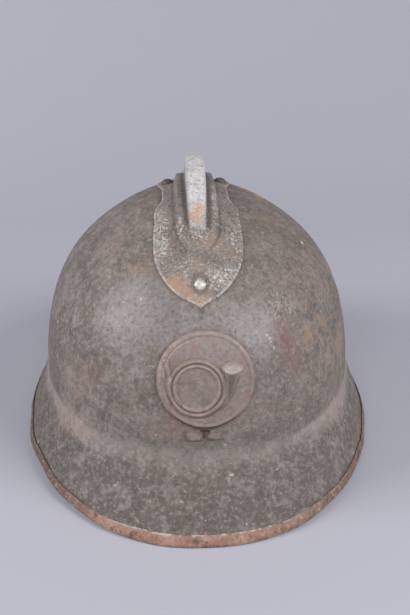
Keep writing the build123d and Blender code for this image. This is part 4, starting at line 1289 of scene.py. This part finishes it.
def stitch_tree():
    """Geometry nodes that lay stitches along a curve."""
    tree = bpy.data.node_groups.new("lay_stitches", "GeometryNodeTree")
    tree.interface.new_socket("Line", in_out="INPUT", socket_type="NodeSocketGeometry")
    for name, value in (("Pitch", 0.0032), ("Stitch Length", 0.0022), ("Thread Radius", 0.00032)):
        socket = tree.interface.new_socket(name, in_out="INPUT", socket_type="NodeSocketFloat")
        socket.default_value = value
    tree.interface.new_socket("Thread", in_out="INPUT", socket_type="NodeSocketMaterial")
    tree.interface.new_socket("Stitches", in_out="OUTPUT", socket_type="NodeSocketGeometry")

    def node(kind, inputs=None, **settings):
        return add_node(tree, kind, inputs, **settings).outputs

    given = node("NodeGroupInput")
    spaced = node(
        "GeometryNodeResampleCurve", {"Curve": given["Line"], "Length": given["Pitch"]}, mode="LENGTH")
    points = node("GeometryNodeCurveToPoints", {"Curve": spaced["Curve"]}, mode="EVALUATED")
    ball = node("GeometryNodeMeshUVSphere", {"Segments": 8, "Rings": 6, "Radius": 1.0})
    half = node("ShaderNodeMath", {0: given["Stitch Length"], 1: 0.5}, operation="MULTIPLY")
    thread = given["Thread Radius"]
    size = node("ShaderNodeCombineXYZ", {"X": thread, "Y": thread, "Z": half[0]})
    laid = node("GeometryNodeInstanceOnPoints", {
        "Points": points["Points"], "Instance": ball["Mesh"], "Rotation": points["Rotation"],
        "Scale": size[0]})
    real = node("GeometryNodeRealizeInstances", {0: laid[0]})
    painted = node("GeometryNodeSetMaterial", {"Geometry": real[0], "Material": given["Thread"]})
    node("NodeGroupOutput", {"Stitches": painted[0]})
    return tree


def lay_stitches(name, tree, line):
    """A closed row of stitches along a line of millimetre points."""
    curve = bpy.data.curves.new(name + "_line", "CURVE")
    curve.dimensions = "3D"
    spline = curve.splines.new("POLY")
    spline.points.add(len(line) - 1)
    for point, place in zip(spline.points, line):
        point.co = (*(np.asarray(place) * MM), 1)
    spline.use_cyclic_u = True
    made = add_object(name + "_line", curve)
    layer = made.modifiers.new("stitches", "NODES")
    layer.node_group = tree
    for item in tree.interface.items_tree:
        if item.name == "Thread":
            layer[item.identifier] = thread_finish
    row = add_object(name, evaluated(made))
    bpy.data.objects.remove(made)
    row.data.polygons.foreach_set("use_smooth", [True] * len(row.data.polygons))
    return row


# Chin strap and keeper

def strap_axes():
    swing = math.radians(strap_tuck_angle)
    along = np.array([0, -math.sin(swing), -math.cos(swing)])
    across = np.array([1.0, 0, 0])
    return np.array([0, 0, ring_axis_height]), across, along, np.cross(across, along)


def rounded_path(corners, radii, step=1.6):
    """Plan line with its inner corners rounded."""
    corners = [np.asarray(c, float) for c in corners]
    out = [corners[0]]
    for before, corner, after, radius in zip(corners, corners[1:], corners[2:], radii):
        a = (before - corner) / np.linalg.norm(before - corner)
        b = (after - corner) / np.linalg.norm(after - corner)
        half = math.acos(np.clip(a @ b, -1, 1)) / 2
        reach = radius / math.tan(half)
        middle = corner + (a + b) / np.linalg.norm(a + b) * radius / math.sin(half)
        first, last = corner + a * reach, corner + b * reach
        start = math.atan2(*(first - middle)[::-1])
        sweep = (math.atan2(*(last - middle)[::-1]) - start + math.pi) % (2 * math.pi) - math.pi
        count = max(6, int(abs(sweep) * radius / step))
        for index in range(count + 1):
            turn = start + sweep * index / count
            out.append(middle + radius * np.array([math.cos(turn), math.sin(turn)]))
    out.append(corners[-1])
    return out


def even_steps(line, step):
    line = np.asarray(line, float)
    run = np.concatenate([[0], np.cumsum(np.linalg.norm(np.diff(line, axis=0), axis=1))])
    count = max(8, int(run[-1] / step))
    places = np.linspace(0, run[-1], count)
    return np.stack([np.interp(places, run, line[:, index]) for index in range(line.shape[1])], axis=-1)


def ribbon(name, line, width, wall, material, frame_axes, closed=False, waver=0.0):
    """Strap of leather along a plan line, its edges rounded and creased near both sides."""
    origin, across, along, normal = frame_axes
    line = np.asarray(line, float)
    if closed:
        ahead = np.roll(line, -1, axis=0) - np.roll(line, 1, axis=0)
    else:
        ahead = np.gradient(line, axis=0)
    ahead /= np.linalg.norm(ahead, axis=1)[:, None]
    side = np.stack([ahead[:, 1], -ahead[:, 0]], axis=-1)
    half, thick = width / 2, wall / 2
    # Half of the section, from below to above round one edge: place across, level and wear
    edge = [(half * 0.4, -thick, 0), (half - 0.8, -thick, 0.4), (half - 0.35, -thick * 0.92, 0.9),
            (half, -thick * 0.45, 1), (half, thick * 0.45, 1), (half - 0.35, thick * 0.92, 0.9),
            (half - 0.8, thick, 0.5), (half - 1.3, thick - 0.16, 0), (half - 1.8, thick, 0.1),
            (half * 0.4, thick, 0)]
    section = [(-level, depth, worn) for level, depth, worn in edge] + edge[::-1]
    rows = []
    for place, out in zip(line, side):
        flats = [(place + out * depth, level) for level, depth, _ in section]
        rows.append([origin + across * flat[0] + along * flat[1] + normal * level for flat, level in flats])
    grid = np.array(rows)
    if waver:
        grid = grid + (ripple(grid, 16, 77) * waver)[..., None] * normal
    count, columns = grid.shape[:2]
    faces = grid_faces(count, columns, True, joined=closed)
    if not closed:
        faces += end_faces(count, columns)
    mesh = fill_mesh(name, grid, faces, {"worn": np.tile([worn for *_, worn in section], count)}, 60)
    return add_object(name, mesh, material)


strap_edge = ring_plane - strap_hold - strap_wall / 2
strap_lean = math.atan2(strap_edge - strap_cheek[0], strap_cheek[1])


def strap_spot(side, distance, outward=0.0):
    """Plan place on a straight stretch, at a distance from the ring."""
    x = strap_edge - distance * math.sin(strap_lean) + outward * math.cos(strap_lean)
    y = distance * math.cos(strap_lean) + outward * math.sin(strap_lean)
    return np.array([side * x, y])


def strap_fold(side):
    """The end that goes round the ring's bar and back, from its tail to the ring."""
    turn = strap_hold + strap_wall / 2
    lap = strap_wall + 0.02
    points = [strap_spot(side, distance, outward) for distance, outward in (
        (22.0, lap), (16.0, lap), (10.5, lap), (6.0, strap_wall + 0.9))]
    for degrees in (15, -20, -60, -100, -140, -172):
        angle = math.radians(degrees)
        points.append(np.array([side * (ring_plane + turn * math.cos(angle)), turn * math.sin(angle)]))
    return smooth_curve([*points, strap_spot(side, 3.0), strap_spot(side, 7.0)], 7)


def make_chin_strap():
    """Strap from ring to ring, bent under the chin, its ends folded round both rings."""
    corners = [(strap_edge, 0), strap_cheek, strap_low]
    corners += [(-x, y) for x, y in reversed(corners)]
    middle = rounded_path(corners, (40, 52, 52, 40))
    middle = [p for p in middle if np.hypot(abs(p[0]) - strap_edge, p[1]) > 9]
    line = np.vstack([strap_fold(1), strap_spot(1, 9.0), middle, strap_spot(-1, 9.0), strap_fold(-1)[::-1]])
    line = even_steps(line, 0.75)
    return ribbon(
        "strap_leather_run", line, strap_width, strap_wall, strap_leather, strap_axes(), waver=0.12)


def make_keeper():
    """Leather loop, oblong with rounded corners, that lies round the strap."""
    origin, across, along, normal = strap_axes()
    place = strap_spot(-1, 60.5)
    tilt = np.array([math.sin(strap_lean), math.cos(strap_lean)])
    ahead = across * tilt[0] + along * tilt[1]
    out = across * tilt[1] - along * tilt[0]
    centre = origin + across * place[0] + along * place[1]
    gap, wall = 0.3, 1.2
    half_thick = strap_wall / 2 + gap + wall / 2
    half_wide = strap_width / 2 + gap + wall / 2
    turns = np.linspace(0, 2 * math.pi, 72, endpoint=False)
    x, y = signed_power(np.cos(turns), 2 / 7), signed_power(np.sin(turns), 2 / 7)
    corners = np.stack([half_thick * x, half_wide * y], axis=-1)
    return ribbon(
        "keeper_loop", corners, 6.0, wall, strap_leather, (centre, out, normal, ahead), closed=True)


# Build everything

def place(made, body, slot, *stands_for):
    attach(made, body)
    if stands_for:
        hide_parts(*stands_for)


place(make_shell(), "helmet", "shell_paint", "shell")
place(make_binding(), "helmet", "binding_steel", "rim_binding")
place(make_comb(), "helmet", "comb_paint", "comb")
place(make_comb_rivets(), "helmet", "rivet_steel", "comb_rivets")
place(make_badge(), "helmet", "badge_paint", "badge")
place(make_cloth_band(), "helmet", "liner_cloth", "cloth_band")
place(make_headband(), "helmet", "liner_leather", "leather_headband")
place(make_tongues(), "helmet", "liner_leather", "leather_tongues")
place(make_chin_strap(), "strap", "strap_leather", "chin_strap")
place(make_keeper(), "keeper", "strap_leather", "strap_keeper")

stitches = stitch_tree()
ring_angles = np.linspace(0, 2 * math.pi, 240, endpoint=False)
for name, depth, rise in (("headband_stitches_low", -0.12, 3.0), ("headband_stitches_high", 0.1, 20.5)):
    row = level_ring(headband_depth + leather_wall + depth, liner_bottom + rise, ring_angles)
    place(lay_stitches(name, stitches, row), "helmet", "liner_leather")

for finish, names in (
    (hoop_finish, "liner_hoop spacer_front_left spacer_front_right spacer_rear_left spacer_rear_right"),
    (steel_finish, "liner_clip_front liner_clip_rear liner_clip_left liner_clip_right lug_left lug_right"),
    (steel_finish, "ring_left ring_right badge_prong_lower badge_prong_upper"),
    (buckle_finish, "strap_rivets strap_buckle"),
):
    for name in names.split():
        cover(nodes[name].data, finish)


# Floor, light and camera

def make_stage():
    """Plain pale paper sweep: flat under the helmet, then curving up behind it."""
    bend_start, bend_radius, bend_steps = 0.34, 0.5, 24
    profile = [(-1.6, 0.0), (bend_start, 0.0)]
    for step in range(1, bend_steps + 1):
        turn = math.pi / 2 * step / bend_steps * 0.86
        profile.append((bend_start + bend_radius * math.sin(turn), bend_radius * (1 - math.cos(turn))))
    last_y, last_z = profile[-1]
    profile.append((last_y + 0.4, last_z + 1.7))
    points = [(x, y, z - 0.0002) for y, z in profile for x in (-2.6, 2.6)]
    faces = [(2 * i, 2 * i + 1, 2 * i + 3, 2 * i + 2) for i in range(len(profile) - 1)]
    mesh = bpy.data.meshes.new("paper_sweep")
    mesh.from_pydata(points, [], faces)
    mesh.polygons.foreach_set("use_smooth", [True] * len(faces))
    f = Finish("paper", roughness=0.9)
    f.shader.inputs["Base Color"].default_value = (0.48, 0.483, 0.55, 1)
    f.shader.inputs["Specular IOR Level"].default_value = 0.1
    made = add_object("paper_sweep", mesh, f.material)


def aim(made, direction):
    made.rotation_euler = Vector(direction).to_track_quat("-Z", "Y").to_euler()


def area_light(name, place, size, power, colour):
    """Rectangular lamp that shines on the helmet."""
    light = bpy.data.lights.new(name, "AREA")
    light.shape = "RECTANGLE"
    light.size, light.size_y = size
    light.energy = power
    light.color = colour
    made = add_object(name, light)
    made.location = place
    aim(made, Vector((0, 0, 0.08)) - Vector(place))


make_stage()
area_light("left_softbox", (-1.15, -0.25, 0.78), (0.6, 0.6), 11, (1.0, 0.985, 0.97))
area_light("right_softbox", (0.95, -0.6, 0.9), (0.8, 0.8), 13.3, (1.0, 0.985, 0.97))
area_light("front_softbox", (-0.2, -1.3, 1.0), (1.0, 0.6), 5.4, (0.98, 0.99, 1.0))

world = bpy.data.worlds.new("room")
world.use_nodes = True
sky = world.node_tree.nodes["Background"].inputs
sky["Color"].default_value = (0.78, 0.8, 0.88, 1)
sky["Strength"].default_value = 0.25
bpy.context.scene.world = world
bpy.context.scene.view_settings.view_transform = "Standard"

# The camera stands a little to the left and well above; its angles are in degrees
camera_yaw, camera_lift, camera_distance = -3.31, 27.68, 0.59925
view_aside, view_height = 5.74, 77.08
camera_data = bpy.data.cameras.new("camera")
camera = add_object("camera", camera_data)
yaw, lift = math.radians(camera_yaw), math.radians(camera_lift)
target = np.array([view_aside * math.cos(yaw), view_aside * math.sin(yaw) + centre_line, view_height]) * MM
away = np.array([math.sin(yaw) * math.cos(lift), -math.cos(yaw) * math.cos(lift), math.sin(lift)])
camera.location = Vector(target + away * camera_distance)
aim(camera, -away)
camera_data.sensor_width = 36
camera_data.sensor_fit = "AUTO"
camera_data.lens = 52.65
camera_data.clip_start = 0.02
bpy.context.scene.camera = camera
